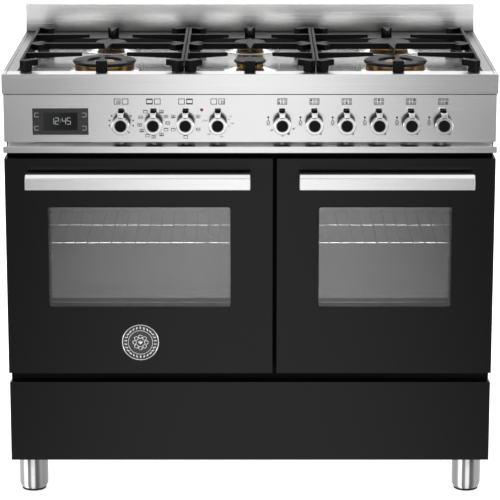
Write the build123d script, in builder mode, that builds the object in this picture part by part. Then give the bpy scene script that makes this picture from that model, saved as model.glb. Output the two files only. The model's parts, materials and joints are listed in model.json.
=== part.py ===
from build123d import *
import os

# Range cooker with a gas hob, two drop-down ovens and a storage flap.
# Millimetres, X to the right, Y to the back, Z up, origin on the floor below the middle.

# Overall sizes
WIDTH = 1000.0
WORKTOP_DEPTH = 600.0
SHEET = 2.0
CLEARANCE = 0.3
PIN_CLEARANCE = 0.05

# Stack of the front, from the floor up
PAD_HEIGHT = 4.0
LEG_HEIGHT = 78.0
FLAP_HEIGHT = 169.0
FLAP_DOOR_GAP = 22.5
DOOR_HEIGHT = 450.5
DOOR_TRIM_GAP = 4.0
TRIM_FACE = 13.0
TRIM_RISE = 8.0
PANEL_HEIGHT = 105.0
WORKTOP_TRIM = 40.0

# Depths in front of and behind the worktop's front edge
DOOR_PROUD = 12.0
DOOR_THICKNESS = 45.0
HANDLE_GAP = 18.0
HANDLE_DEPTH = 30.0
PANEL_SETBACK = 10.0
SEAL_THICKNESS = 6.2
REAR_SPACE = 25.0

# Casing and front layout
FRONT_INSET = 3.5
CASING_INSET = 4.0
TRIM_END_NOTCH = 9.5
LEFT_DOOR_WIDTH = 542.7
DOOR_GAP = 8.0

# Worktop pressing and upstand
LIP_WIDTH = 8.0
LIP_DROP = 1.0
WELL_DROP = 13.0
WELL_WALL_ANGLE = 30.0
WELL_SIDE = 28.0
WELL_FRONT = 48.0
UPSTAND_HEIGHT = 60.0
UPSTAND_THICKNESS = 12.0

# Burners
BURNER_ROW_INSET = 113.0
ROUND_SIDES = 24
CUP_HEIGHT = 6.0
THROAT_DEPTH = 24.0
THROAT_RADIUS = 20.0
HEAD_HEIGHT = 7.0
CAP_HEIGHT = 4.5
SMALL_CUP_RADIUS = 55.0
SMALL_HEAD_RADIUS = 30.0
SMALL_CAP_RADIUS = 33.5
MEDIUM_CUP_RADIUS = 66.0
MEDIUM_HEAD_RADIUS = 43.0
MEDIUM_CAP_RADIUS = 46.5
WOK_CUP_RADIUS = 72.0
WOK_HEAD_RADIUS = 63.0
WOK_CAP_RADIUS = 65.5
WOK_CAP_HOLE = 35.5
WOK_INNER_RADIUS = 21.5
WOK_INNER_RISE = 2.5
SPARK_RADIUS = 2.0
SPARK_HEIGHT = 12.0
SPARK_EDGE = 5.0

# Cast pan supports
GRATE_LENGTH = 478.0
GRATE_OUTER_WIDTH = 331.0
GRATE_EDGE = 6.5
GRATE_GAP = 2.0
GRATE_RISE = 15.0
BAR_WIDTH = 9.0
RAIL_WIDTH = 5.0
BAR_HEIGHT = 12.0
FINGER_TIP_HEIGHT = 7.0
FINGER_CLEAR = 46.0
FOOT_WIDTH = 22.5
FOOT_DEPTH = 16.0
FOOT_LAP = 17.0
SPUR_ROOT = 18.0
SPUR_TIP = 3.0
SPUR_LENGTH = 65.0
SPUR_HEIGHT = 9.0
DIAMOND_HALF_LENGTH = 78.0
DIAMOND_HALF_WIDTH = 8.5
STUB_LENGTH = 35.0
STUB_WIDTH = 16.0
STUB_FOOT = 18.0
MID_STUB_LENGTH = 32.0
TIE_SETBACK = 34.0
TIE_WIDTH = 8.0
TIE_HEIGHT = 4.5
TIE_CLEAR = 1.5
TIE_LEG_WIDTH = 4.0

# Doors and ovens
WINDOW_MARGIN = 86.2
WINDOW_RISE = 140.5
WINDOW_HEIGHT = 209.0
WINDOW_CORNER = 5.0
PANE_THICKNESS = 4.0
PANE_LAP = 14.0
HANDLE_MARGIN = 45.0
HANDLE_DROP = 31.0
HANDLE_HEIGHT = 26.0
HANDLE_CHAMFER = 1.2
POST_WIDTH = 20.0
POST_INSET = 22.0
POST_HEIGHT = 18.0
CAVITY_MARGIN = 51.5
CAVITY_RISE = 60.5
CAVITY_HEIGHT = 320.0
CAVITY_DEPTH = 400.0
SEAL_WIDTH = 9.0
SEAL_GAP = 3.0

# Door hinges
HINGE_INSET = 72.0
HINGE_SETBACK = 30.0
HINGE_RISE = 13.5
HINGE_PIN_RADIUS = 4.0
HINGE_ARM_WIDTH = 8.0
HINGE_ARM_HALF = 5.0
HINGE_ARM_CLEAR = 3.5
HINGE_SIDE_CLEAR = 1.5
KNUCKLE_WIDTH = 14.0
KNUCKLE_WALL = 9.0
BRACKET_WIDTH = 30.0
BRACKET_HEIGHT = 60.0
BRACKET_THICKNESS = 6.0

# Storage flap and compartment
FLAP_THICKNESS = 20.0
FLAP_AXIS_RISE = 10.0
FLAP_AXIS_DEPTH = 10.0
FLAP_LUG_WIDTH = 6.0
FLAP_LUG_HALF = 5.0
FLAP_LUG_INSET = 19.0
FLAP_LUG_CLEAR = 1.5
FLAP_PIN_RADIUS = 4.0
FLAP_BLOCK_WALL = 8.0
TRAY_SIDE = 30.0
TRAY_HEIGHT = 155.0
TRAY_BACK_SPACE = 15.0
PAN_HEIGHT = 14.0

# Legs
LEG_RADIUS = 30.0
LEG_SIDE = 45.0
LEG_FRONT = 55.0
LEG_BACK = 60.0
PAD_RADIUS = 26.0

# Controls
KNOB_END = 110.0
KNOB_RISE = 44.0
KNOB_RADIUS = 18.0
KNOB_LENGTH = 33.0
KNOB_STANDOFF = 5.0
LEVER_WIDTH = 12.0
LEVER_RADIUS = 25.0
STEM_WIDTH = 8.0
STEM_FLAT = 5.0
STEM_IN_KNOB = 16.0
STEM_BORE_SPARE = 6.0
STEM_REAR = 25.0
STEM_HOLE_RADIUS = 7.0
OVEN_KNOBS = 4
GAS_KNOBS = 6
VALVE_WIDTH = 30.0
VALVE_HEIGHT = 34.0
VALVE_DEPTH = 46.0
SWITCH_WIDTH = 40.0
SWITCH_HEIGHT = 40.0
SWITCH_DEPTH = 43.0
CLOCK_WIDTH = 113.0
CLOCK_HEIGHT = 54.5
CLOCK_LEFT = 60.5
CLOCK_RISE = 20.0
CLOCK_PROUD = 1.5
CLOCK_BODY_INSET = 2.5
CLOCK_DEPTH = 24.0
LAMP_RADIUS = 3.25
LAMP_BODY = 4.0
LAMP_LENGTH = 14.0
LAMP_PROUD = 1.5
LAMP_RISE = 71.0

# Gas supply
RAIL_SIZE = 22.0
RAIL_END = 22.0
SUPPLY_RADIUS = 9.0
INLET_RADIUS = 10.5
INLET_LENGTH = 18.0
INLET_SIDE = 24.0
PIPE_RADIUS = 3.0
PIPE_SETBACK = 10.0
PIPE_LEVEL_PITCH = 6.4
PIPE_FIRST_RISE = 5.0

# Oven furniture
RACK_RISE = 190.0
RACK_SIDE = 6.0
RACK_FRONT = 34.0
RACK_BACK = 50.0
RACK_WIRE = 3.0
RACK_ROD = 4.0
RACK_WIRE_PITCH = 24.5
LADDER_WIDTH = 12.0
LADDER_ROD = 5.0
LADDER_FRONT = 45.0
LADDER_BACK = 70.0
LADDER_PITCH = 90.0
LADDER_RUNGS = 3
ELEMENT_RADIUS = 3.5
ELEMENT_DROP = 16.0
ELEMENT_SIDE = 70.0
ELEMENT_FRONT = 60.0
ELEMENT_TURN = 90.0
ELEMENT_LOOPS = 2
FAN_COVER_DEPTH = 30.0
FAN_COVER_SIDE = 40.0
FAN_COVER_TOP = 34.0
FAN_COVER_BOTTOM = 24.0
FAN_SLOT_LENGTH = 40.0
FAN_SLOT_WIDTH = 6.0
FAN_SLOT_RADIUS = 64.0
FAN_SLOTS = 16
FAN_RADIUS = 70.0
FAN_HUB_RADIUS = 16.0
FAN_BLADE = 2.0
FAN_BLADES = 8
FAN_DEPTH = 16.0
FAN_WALL_GAP = 6.0
FAN_SHAFT_RADIUS = 4.0
FAN_HOLE_RADIUS = 9.0
MOTOR_HALF = 34.0
MOTOR_LENGTH = 52.0
MOTOR_BORE_DEPTH = 30.0
TERMINAL_WIDTH = 120.0
TERMINAL_HEIGHT = 80.0
TERMINAL_DEPTH = 20.0
TERMINAL_RISE = 40.0
TERMINAL_SIDE = 60.0
LOUVRE_WIDTH = 160.0
LOUVRE_HEIGHT = 6.0
LOUVRE_PITCH = 18.0
LOUVRES = 5

# Planes and levels that the pieces share
OVERALL_DEPTH = WORKTOP_DEPTH + DOOR_PROUD + HANDLE_GAP + HANDLE_DEPTH
BACK_Y = OVERALL_DEPTH / 2
FRONT_Y = BACK_Y - WORKTOP_DEPTH
DOOR_FRONT_Y = FRONT_Y - DOOR_PROUD
DOOR_BACK_Y = DOOR_FRONT_Y + DOOR_THICKNESS
FRAME_Y = DOOR_BACK_Y + SEAL_THICKNESS + CLEARANCE
FRAME_BACK_Y = FRAME_Y + SHEET
PANEL_Y = FRONT_Y + PANEL_SETBACK
CASING_BACK_Y = BACK_Y - REAR_SPACE
FLAP_BOTTOM = LEG_HEIGHT
FLAP_TOP = FLAP_BOTTOM + FLAP_HEIGHT
DOOR_BOTTOM = FLAP_TOP + FLAP_DOOR_GAP
DOOR_TOP = DOOR_BOTTOM + DOOR_HEIGHT
TRIM_BOTTOM = DOOR_TOP + DOOR_TRIM_GAP
TRIM_TOP = TRIM_BOTTOM + TRIM_FACE
PANEL_BOTTOM = TRIM_TOP + TRIM_RISE
PANEL_TOP = PANEL_BOTTOM + PANEL_HEIGHT
HOB_HEIGHT = PANEL_TOP + WORKTOP_TRIM
FLAT_TOP = HOB_HEIGHT - LIP_DROP
WELL_FLOOR = FLAT_TOP - WELL_DROP
CASING_TOP = FLAT_TOP - SHEET
UPSTAND_Y = BACK_Y - UPSTAND_THICKNESS
HALF_WIDTH = WIDTH / 2
FRONT_X = HALF_WIDTH - FRONT_INSET
CASING_X = HALF_WIDTH - CASING_INSET
FRAME_X = CASING_X - SHEET
TRIM_X = CASING_X + FRONT_INSET
PANEL_X = HALF_WIDTH - SHEET
WELL_X = HALF_WIDTH - WELL_SIDE
WELL_FRONT_Y = FRONT_Y + WELL_FRONT
WELL_LENGTH = GRATE_LENGTH - 2 * FOOT_LAP
BURNER_ROW_PITCH = GRATE_LENGTH - 2 * BURNER_ROW_INSET
HOB_Y = WELL_FRONT_Y + WELL_LENGTH / 2
BURNER_PITCH = WELL_X - GRATE_EDGE - GRATE_OUTER_WIDTH / 2
GRATE_CENTRE_WIDTH = 2 * (BURNER_PITCH - GRATE_GAP) - GRATE_OUTER_WIDTH
GRATE_TOP = HOB_HEIGHT + GRATE_RISE
KNOB_PITCH = (HALF_WIDTH - KNOB_END) / GAS_KNOBS
KNOB_Z = PANEL_BOTTOM + KNOB_RISE
KNOB_BACK_Y = PANEL_Y - KNOB_STANDOFF
KNOB_FRONT_Y = KNOB_BACK_Y - KNOB_LENGTH
STEM_BACK_Y = PANEL_Y + STEM_REAR
HINGE_Y = DOOR_FRONT_Y + HINGE_SETBACK
HINGE_Z = DOOR_BOTTOM + HINGE_RISE
FLAP_AXIS_Y = FRONT_Y + FLAP_AXIS_DEPTH
FLAP_AXIS_Z = FLAP_BOTTOM + FLAP_AXIS_RISE
FLAP_LUG_X = FRONT_X - FLAP_LUG_INSET
CAVITY_BOTTOM = DOOR_BOTTOM + CAVITY_RISE
CAVITY_TOP = CAVITY_BOTTOM + CAVITY_HEIGHT
CAVITY_BACK_Y = FRAME_BACK_Y + CAVITY_DEPTH
TRAY_X = HALF_WIDTH - TRAY_SIDE
TRAY_BOTTOM = LEG_HEIGHT + 2 * SHEET
TRAY_TOP = TRAY_BOTTOM + TRAY_HEIGHT
WINDOW_BOTTOM = DOOR_BOTTOM + WINDOW_RISE
WINDOW_TOP = WINDOW_BOTTOM + WINDOW_HEIGHT
HANDLE_TOP = DOOR_TOP - HANDLE_DROP
HANDLE_BACK_Y = DOOR_FRONT_Y - HANDLE_GAP
DOOR_SPLIT = -FRONT_X + LEFT_DOOR_WIDTH
DOORS = {"left": (-FRONT_X, DOOR_SPLIT), "right": (DOOR_SPLIT + DOOR_GAP, FRONT_X)}
OVEN_KNOB_XS = [-KNOB_PITCH * (OVEN_KNOBS - i) for i in range(OVEN_KNOBS)]
GAS_KNOB_XS = [KNOB_PITCH * (i + 1) for i in range(GAS_KNOBS)]
HEAD_BOTTOM = WELL_FLOOR + CUP_HEIGHT
CAP_BOTTOM = HEAD_BOTTOM + HEAD_HEIGHT
VALVE_BACK_Y = PANEL_Y + SHEET + VALVE_DEPTH
VALVE_TOP = KNOB_Z + VALVE_HEIGHT / 2
CLOCK_X0 = -HALF_WIDTH + CLOCK_LEFT
CLOCK_X1 = CLOCK_X0 + CLOCK_WIDTH
CLOCK_Z0 = PANEL_BOTTOM + CLOCK_RISE
CLOCK_Z1 = CLOCK_Z0 + CLOCK_HEIGHT
LAMP_X = -1.5 * KNOB_PITCH
LAMP_Z = PANEL_BOTTOM + LAMP_RISE
INLET_X = CASING_X - INLET_SIDE

# Burners as column, row and kind, in the order of the six gas knobs
BURNERS = [
    (-1, -1, "wok"),
    (-1, 1, "small"),
    (0, -1, "small"),
    (0, 1, "small"),
    (1, 1, "medium"),
    (1, -1, "wok"),
]
CUP_RADII = {"small": SMALL_CUP_RADIUS, "medium": MEDIUM_CUP_RADIUS, "wok": WOK_CUP_RADIUS}
HEAD_RADII = {"small": SMALL_HEAD_RADIUS, "medium": MEDIUM_HEAD_RADIUS, "wok": WOK_HEAD_RADIUS}
CAP_RADII = {"small": SMALL_CAP_RADIUS, "medium": MEDIUM_CAP_RADIUS, "wok": WOK_CAP_RADIUS}


def level(z):
    """A drawing plane parallel to the floor, X to the right and Y to the back."""
    return Plane.XY.offset(z)


def front(y):
    """A drawing plane facing the front, X to the right and Z up."""
    return Plane.XZ.offset(-y)


def side(x):
    """A drawing plane facing the right, Y to the back and Z up."""
    return Plane.YZ.offset(x)


def rect(u0, u1, v0, v1, mode=Mode.ADD):
    """Draw a rectangle in the open sketch by its limits."""
    with Locations(((u0 + u1) / 2, (v0 + v1) / 2)):
        Rectangle(u1 - u0, v1 - v0, mode=mode)


def rounded(u0, u1, v0, v1, radius, mode=Mode.ADD):
    """Draw a rectangle with round corners in the open sketch by its limits."""
    with Locations(((u0 + u1) / 2, (v0 + v1) / 2)):
        RectangleRounded(u1 - u0, v1 - v0, radius, mode=mode)


def disc(u, v, radius, mode=Mode.ADD):
    """Draw a circle in the open sketch round a point."""
    with Locations((u, v)):
        Circle(radius, mode=mode)


def octagon(u, v, apothem, mode=Mode.ADD):
    """Draw an eight-sided outline in the open sketch round a point, for small or hidden pieces."""
    with Locations((u, v)):
        RegularPolygon(apothem, side_count=8, major_radius=False, rotation=22.5, mode=mode)


def many_sided(u, v, radius, mode=Mode.ADD):
    """Draw the many-sided outline of a casting or a pad in the open sketch round a point."""
    with Locations((u, v)):
        RegularPolygon(radius, side_count=ROUND_SIDES, mode=mode)


def hollow(openings):
    """Shell the open part inwards to sheet thickness, leaving faces off."""
    offset(amount=-SHEET, openings=openings, kind=Kind.INTERSECTION)


def burner_place(burner):
    """The centre of a burner in plan."""
    return burner[0] * BURNER_PITCH, HOB_Y + burner[1] * BURNER_ROW_PITCH / 2


def save(piece, name):
    """Name a finished piece and write it to its own file."""
    piece.part.label = name
    export_step(piece.part, f"parts/{name}.step")


# Worktop pressing with a lip, a flat border and a sunk well
def build_worktop():
    with BuildPart() as worktop:
        with BuildSketch(level(HOB_HEIGHT)):
            rect(-HALF_WIDTH, HALF_WIDTH, FRONT_Y, BACK_Y)
        extrude(amount=-WORKTOP_TRIM)
        with BuildSketch(level(HOB_HEIGHT)):
            rect(-HALF_WIDTH + LIP_WIDTH, HALF_WIDTH - LIP_WIDTH, FRONT_Y + LIP_WIDTH, UPSTAND_Y)
        extrude(amount=-LIP_DROP, taper=WELL_WALL_ANGLE, mode=Mode.SUBTRACT)
        with BuildSketch(level(FLAT_TOP)):
            rect(-WELL_X, WELL_X, WELL_FRONT_Y, WELL_FRONT_Y + WELL_LENGTH)
        extrude(amount=-WELL_DROP, taper=WELL_WALL_ANGLE, mode=Mode.SUBTRACT)
        hollow(worktop.faces().sort_by(Axis.Z)[0])
        for burner in BURNERS:
            with BuildSketch(level(WELL_FLOOR)):
                octagon(*burner_place(burner), THROAT_RADIUS + CLEARANCE)
            extrude(amount=-SHEET, mode=Mode.SUBTRACT)
    save(worktop, "worktop")


# Upstand folded along its top and ends, open at the back
def build_backsplash():
    with BuildPart() as backsplash:
        with BuildSketch(level(HOB_HEIGHT)):
            rect(-HALF_WIDTH, HALF_WIDTH, UPSTAND_Y, BACK_Y)
        extrude(amount=UPSTAND_HEIGHT)
        hollow(backsplash.faces().sort_by(Axis.Y)[-1])
    save(backsplash, "backsplash")


# Control fascia folded back along all its edges
def build_control_panel():
    with BuildPart() as panel:
        with BuildSketch(front(PANEL_Y)):
            rect(-PANEL_X, PANEL_X, PANEL_BOTTOM, PANEL_TOP)
        extrude(amount=-(FRAME_Y - PANEL_Y))
        hollow(panel.faces().sort_by(Axis.Y)[-1])
        with BuildSketch(front(PANEL_Y)):
            for x in OVEN_KNOB_XS + GAS_KNOB_XS:
                octagon(x, KNOB_Z, STEM_HOLE_RADIUS)
            half = LAMP_BODY / 2 + CLEARANCE
            rect(LAMP_X - half, LAMP_X + half, LAMP_Z - half, LAMP_Z + half)
            inset = CLOCK_BODY_INSET - CLEARANCE
            rect(CLOCK_X0 + inset, CLOCK_X1 - inset, CLOCK_Z0 + inset, CLOCK_Z1 - inset)
        extrude(amount=-SHEET, mode=Mode.SUBTRACT)
    save(panel, "control_panel")


# Trim below the fascia with a sloped top and notched ends
def build_vent_trim():
    with BuildPart() as trim:
        with BuildSketch(side(-TRIM_X)):
            with BuildLine():
                Polyline(
                    (FRAME_Y, TRIM_BOTTOM),
                    (FRONT_Y, TRIM_BOTTOM),
                    (FRONT_Y, TRIM_TOP),
                    (PANEL_Y, PANEL_BOTTOM),
                    (PANEL_Y + SHEET, PANEL_BOTTOM),
                    (FRONT_Y + SHEET, TRIM_TOP - SHEET / 2),
                    (FRONT_Y + SHEET, TRIM_BOTTOM + SHEET),
                    (FRAME_Y, TRIM_BOTTOM + SHEET),
                    close=True,
                )
            make_face()
        extrude(amount=2 * TRIM_X)
        with BuildSketch(level(TRIM_TOP)):
            for end in (-1, 1):
                rect(end * TRIM_X - TRIM_END_NOTCH, end * TRIM_X + TRIM_END_NOTCH, FRONT_Y, FRAME_Y)
        extrude(amount=TRIM_RISE, mode=Mode.SUBTRACT)
    save(trim, "vent_trim")


# Casing sheets: two sides, the back with its louvres and terminal cover, and the base pan
def build_casing():
    with BuildPart() as sides:
        for x in (-CASING_X, FRAME_X):
            with BuildSketch(side(x)):
                rect(FRAME_Y, CASING_BACK_Y, LEG_HEIGHT, CASING_TOP)
            extrude(amount=SHEET)
    save(sides, "side_panels")
    terminal_x = -FRAME_X + TERMINAL_SIDE
    terminal_z = TRAY_TOP + TERMINAL_RISE
    with BuildPart() as rear:
        with BuildSketch(front(CASING_BACK_Y)):
            rect(-FRAME_X, FRAME_X, LEG_HEIGHT, CASING_TOP)
            octagon(INLET_X, KNOB_Z, SUPPLY_RADIUS + CLEARANCE, mode=Mode.SUBTRACT)
            for x in ((DOORS["left"][0] + DOORS["left"][1]) / 2, (DOORS["right"][0] + DOORS["right"][1]) / 2):
                for i in range(LOUVRES):
                    z = PANEL_BOTTOM - (i + 1) * LOUVRE_PITCH
                    rect(x - LOUVRE_WIDTH / 2, x + LOUVRE_WIDTH / 2, z, z + LOUVRE_HEIGHT, mode=Mode.SUBTRACT)
        extrude(amount=SHEET)
        with BuildSketch(front(CASING_BACK_Y)):
            rect(terminal_x, terminal_x + TERMINAL_WIDTH, terminal_z, terminal_z + TERMINAL_HEIGHT)
        extrude(amount=-TERMINAL_DEPTH)
        chamfer(rear.faces().sort_by(Axis.Y)[-1].edges(), SHEET)
    save(rear, "rear_panel")
    with BuildPart() as pan:
        with BuildSketch(level(LEG_HEIGHT)):
            rect(-FRAME_X, FRAME_X, FRAME_BACK_Y, CASING_BACK_Y - SHEET)
        extrude(amount=PAN_HEIGHT)
        hollow([pan.faces().sort_by(Axis.Z)[-1], pan.faces().sort_by(Axis.Y)[0]])
    save(pan, "base_pan")


def cavity_limits(name):
    """Left and right inner limits of an oven."""
    return DOORS[name][0] + CAVITY_MARGIN, DOORS[name][1] - CAVITY_MARGIN


def hinge_places(name):
    """The two hinge positions of a door along X."""
    return DOORS[name][0] + HINGE_INSET, DOORS[name][1] - HINGE_INSET


# Front frame with the two oven mouths, the storage mouth, the control space and the hinge slots
def build_front_frame():
    slot = HINGE_ARM_WIDTH / 2 + HINGE_SIDE_CLEAR
    rise = HINGE_ARM_HALF + HINGE_ARM_CLEAR
    with BuildPart() as frame:
        with BuildSketch(front(FRAME_Y)):
            rect(-FRAME_X, FRAME_X, LEG_HEIGHT, CASING_TOP)
            rect(-TRAY_X, TRAY_X, TRAY_BOTTOM, TRAY_TOP, mode=Mode.SUBTRACT)
            rect(-TRAY_X, TRAY_X, PANEL_BOTTOM + 2 * SHEET, PANEL_TOP - 2 * SHEET, mode=Mode.SUBTRACT)
            for name in DOORS:
                x0, x1 = cavity_limits(name)
                rect(x0, x1, CAVITY_BOTTOM, CAVITY_TOP, mode=Mode.SUBTRACT)
                for x in hinge_places(name):
                    rect(x - slot, x + slot, HINGE_Z - rise, HINGE_Z + rise, mode=Mode.SUBTRACT)
        extrude(amount=-SHEET)
    save(frame, "front_frame")
    with BuildPart() as brackets:
        for name in DOORS:
            for x in hinge_places(name):
                with BuildSketch(side(x - HINGE_ARM_WIDTH / 2)):
                    half = HINGE_ARM_HALF
                    rect(HINGE_Y - half, FRAME_BACK_Y, HINGE_Z - half, HINGE_Z + half)
                extrude(amount=HINGE_ARM_WIDTH)
                with BuildSketch(side(x + HINGE_ARM_WIDTH / 2)):
                    disc(HINGE_Y, HINGE_Z, HINGE_PIN_RADIUS)
                extrude(amount=KNUCKLE_WIDTH)
                with BuildSketch(front(FRAME_BACK_Y)):
                    half = BRACKET_WIDTH / 2
                    rect(x - half, x + half, HINGE_Z - BRACKET_HEIGHT / 2, HINGE_Z + BRACKET_HEIGHT / 2)
                extrude(amount=-BRACKET_THICKNESS)
    save(brackets, "hinge_brackets")
    with BuildPart() as seals:
        for name in DOORS:
            x0, x1 = cavity_limits(name)
            with BuildSketch(front(FRAME_Y)):
                grow = SEAL_GAP + SEAL_WIDTH
                rect(x0 - grow, x1 + grow, CAVITY_BOTTOM - grow, CAVITY_TOP + grow)
                gap = SEAL_GAP
                rect(x0 - gap, x1 + gap, CAVITY_BOTTOM - gap, CAVITY_TOP + gap, mode=Mode.SUBTRACT)
            extrude(amount=SEAL_THICKNESS)
    save(seals, "oven_seals")


# One drop-down door: outer skin, inner liner with hinge knuckles, two panes and the bar handle
def build_door(name):
    x0, x1 = DOORS[name]
    wx0 = x0 + WINDOW_MARGIN
    wx1 = x1 - WINDOW_MARGIN
    notch = HINGE_ARM_WIDTH / 2 + HINGE_SIDE_CLEAR
    notch_front = HINGE_Y - HINGE_ARM_HALF - HINGE_ARM_CLEAR
    notch_top = HINGE_Z + HINGE_ARM_HALF + HINGE_ARM_CLEAR
    liner_y = DOOR_BACK_Y - SHEET
    pane_y = DOOR_FRONT_Y + SHEET
    with BuildPart() as skin:
        with BuildSketch(front(DOOR_FRONT_Y)):
            rect(x0, x1, DOOR_BOTTOM, DOOR_TOP)
        extrude(amount=-(DOOR_THICKNESS - SHEET))
        hollow(skin.faces().sort_by(Axis.Y)[-1])
        with BuildSketch(front(DOOR_FRONT_Y)):
            rounded(wx0, wx1, WINDOW_BOTTOM, WINDOW_TOP, WINDOW_CORNER)
        extrude(amount=-SHEET, mode=Mode.SUBTRACT)
        for x in hinge_places(name):
            with BuildSketch(level(DOOR_BOTTOM)):
                rect(x - notch, x + notch, notch_front, liner_y)
            extrude(amount=SHEET, mode=Mode.SUBTRACT)
    save(skin, f"door_{name}_skin")
    with BuildPart() as liner:
        with BuildSketch(front(liner_y)):
            rect(x0, x1, DOOR_BOTTOM, DOOR_TOP)
        extrude(amount=-SHEET)
        with BuildSketch(front(pane_y + PANE_THICKNESS)):
            rect(wx0 - SHEET, wx1 + SHEET, WINDOW_BOTTOM - SHEET, WINDOW_TOP + SHEET)
        extrude(amount=-(liner_y - pane_y - PANE_THICKNESS))
        for x in hinge_places(name):
            with BuildSketch(side(x + notch)):
                top = HINGE_Z + KNUCKLE_WALL
                rect(HINGE_Y - KNUCKLE_WALL, liner_y, DOOR_BOTTOM + SHEET, top)
                octagon(HINGE_Y, HINGE_Z, HINGE_PIN_RADIUS + PIN_CLEARANCE, mode=Mode.SUBTRACT)
            extrude(amount=KNUCKLE_WIDTH)
            with BuildSketch(front(liner_y)):
                rect(x - notch, x + notch, DOOR_BOTTOM, notch_top)
            extrude(amount=-SHEET, mode=Mode.SUBTRACT)
        with BuildSketch(front(pane_y)):
            rect(wx0, wx1, WINDOW_BOTTOM, WINDOW_TOP)
        extrude(amount=-DOOR_THICKNESS, mode=Mode.SUBTRACT)
    save(liner, f"door_{name}_liner")
    with BuildPart() as glass:
        with BuildSketch(front(pane_y)):
            rect(wx0 - PANE_LAP, wx1 + PANE_LAP, WINDOW_BOTTOM - PANE_LAP, WINDOW_TOP + PANE_LAP)
        extrude(amount=-PANE_THICKNESS)
        with BuildSketch(front(liner_y)):
            gap = CLEARANCE
            rect(wx0 + gap, wx1 - gap, WINDOW_BOTTOM + gap, WINDOW_TOP - gap)
        extrude(amount=PANE_THICKNESS)
    save(glass, f"door_{name}_glass")
    with BuildPart() as handle:
        hx0 = x0 + HANDLE_MARGIN
        hx1 = x1 - HANDLE_MARGIN
        with BuildSketch(side(hx0)):
            rect(HANDLE_BACK_Y - HANDLE_DEPTH, HANDLE_BACK_Y, HANDLE_TOP - HANDLE_HEIGHT, HANDLE_TOP)
        extrude(amount=hx1 - hx0)
        chamfer(handle.edges(), HANDLE_CHAMFER)
        middle = HANDLE_TOP - HANDLE_HEIGHT / 2
        with BuildSketch(front(DOOR_FRONT_Y)):
            for x in (hx0 + POST_INSET, hx1 - POST_INSET):
                rect(x - POST_WIDTH / 2, x + POST_WIDTH / 2, middle - POST_HEIGHT / 2, middle + POST_HEIGHT / 2)
        extrude(amount=HANDLE_GAP)
    save(handle, f"door_{name}_handle")


# Oven cavities, shelf ladders, wire racks and grill elements
def build_ovens():
    fan_x, fan_z = fan_centre()
    for name in DOORS:
        x0, x1 = cavity_limits(name)
        with BuildPart() as cavity:
            with BuildSketch(front(FRAME_BACK_Y)):
                rect(x0 - SHEET, x1 + SHEET, CAVITY_BOTTOM - SHEET, CAVITY_TOP + SHEET)
            extrude(amount=-(CAVITY_DEPTH + SHEET))
            hollow(cavity.faces().sort_by(Axis.Y)[0])
            if name == "left":
                with BuildSketch(front(CAVITY_BACK_Y)):
                    octagon(fan_x, fan_z, FAN_HOLE_RADIUS)
                extrude(amount=-SHEET, mode=Mode.SUBTRACT)
        save(cavity, f"oven_cavity_{name}")
    rack_z = CAVITY_BOTTOM + RACK_RISE
    ladder_y0 = FRAME_BACK_Y + LADDER_FRONT
    ladder_y1 = CAVITY_BACK_Y - LADDER_BACK
    with BuildPart() as ladders:
        for name in DOORS:
            x0, x1 = cavity_limits(name)
            for wall, inward in ((x0, 1), (x1, -1)):
                rungs = [rack_z - LADDER_ROD + LADDER_PITCH * (i - LADDER_RUNGS // 2) for i in range(LADDER_RUNGS)]
                with BuildSketch(side(wall)):
                    for y in (ladder_y0, ladder_y1):
                        rect(y, y + LADDER_ROD, rungs[0], rungs[-1] + LADDER_ROD)
                extrude(amount=inward * LADDER_ROD)
                with BuildSketch(side(wall)):
                    for z in rungs:
                        rect(ladder_y0, ladder_y1 + LADDER_ROD, z, z + LADDER_ROD)
                extrude(amount=inward * LADDER_WIDTH)
    save(ladders, "shelf_ladders")
    with BuildPart() as racks:
        for name in DOORS:
            x0, x1 = cavity_limits(name)
            rx0 = x0 + RACK_SIDE
            rx1 = x1 - RACK_SIDE
            ry0 = FRAME_BACK_Y + RACK_FRONT
            ry1 = CAVITY_BACK_Y - RACK_BACK
            count = round((rx1 - rx0) / RACK_WIRE_PITCH)
            with BuildSketch(level(rack_z)):
                for y in (ry0, ry1 - RACK_ROD):
                    rect(rx0, rx1, y, y + RACK_ROD)
                for i in range(count + 1):
                    x = rx0 + (rx1 - rx0 - RACK_WIRE) * i / count
                    rect(x, x + RACK_WIRE, ry0, ry1)
            extrude(amount=RACK_ROD)
    save(racks, "oven_racks")
    with BuildPart() as elements:
        for name in DOORS:
            x0, x1 = cavity_limits(name)
            start = x0 + ELEMENT_SIDE
            step = (x1 - x0 - 2 * ELEMENT_SIDE) / (2 * ELEMENT_LOOPS - 1)
            front_y = FRAME_BACK_Y + ELEMENT_FRONT
            turn_y = CAVITY_BACK_Y - ELEMENT_TURN
            points = [(start, CAVITY_BACK_Y)]
            for i in range(2 * ELEMENT_LOOPS - 1):
                y = front_y if i % 2 == 0 else turn_y
                points.append((start + i * step, y))
                points.append((start + (i + 1) * step, y))
            points.append((start + (2 * ELEMENT_LOOPS - 1) * step, CAVITY_BACK_Y))
            with BuildLine(level(CAVITY_TOP - ELEMENT_DROP)) as route:
                Polyline(*points)
            with BuildSketch(front(CAVITY_BACK_Y)):
                octagon(start, CAVITY_TOP - ELEMENT_DROP, ELEMENT_RADIUS)
            sweep(path=route.line, transition=Transition.RIGHT)
    save(elements, "grill_elements")


def fan_centre():
    """The fan axis of the left oven as X and Z."""
    x0, x1 = cavity_limits("left")
    z0 = CAVITY_BOTTOM + FAN_COVER_BOTTOM
    z1 = CAVITY_TOP - FAN_COVER_TOP
    return (x0 + x1) / 2, (z0 + z1) / 2


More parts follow.
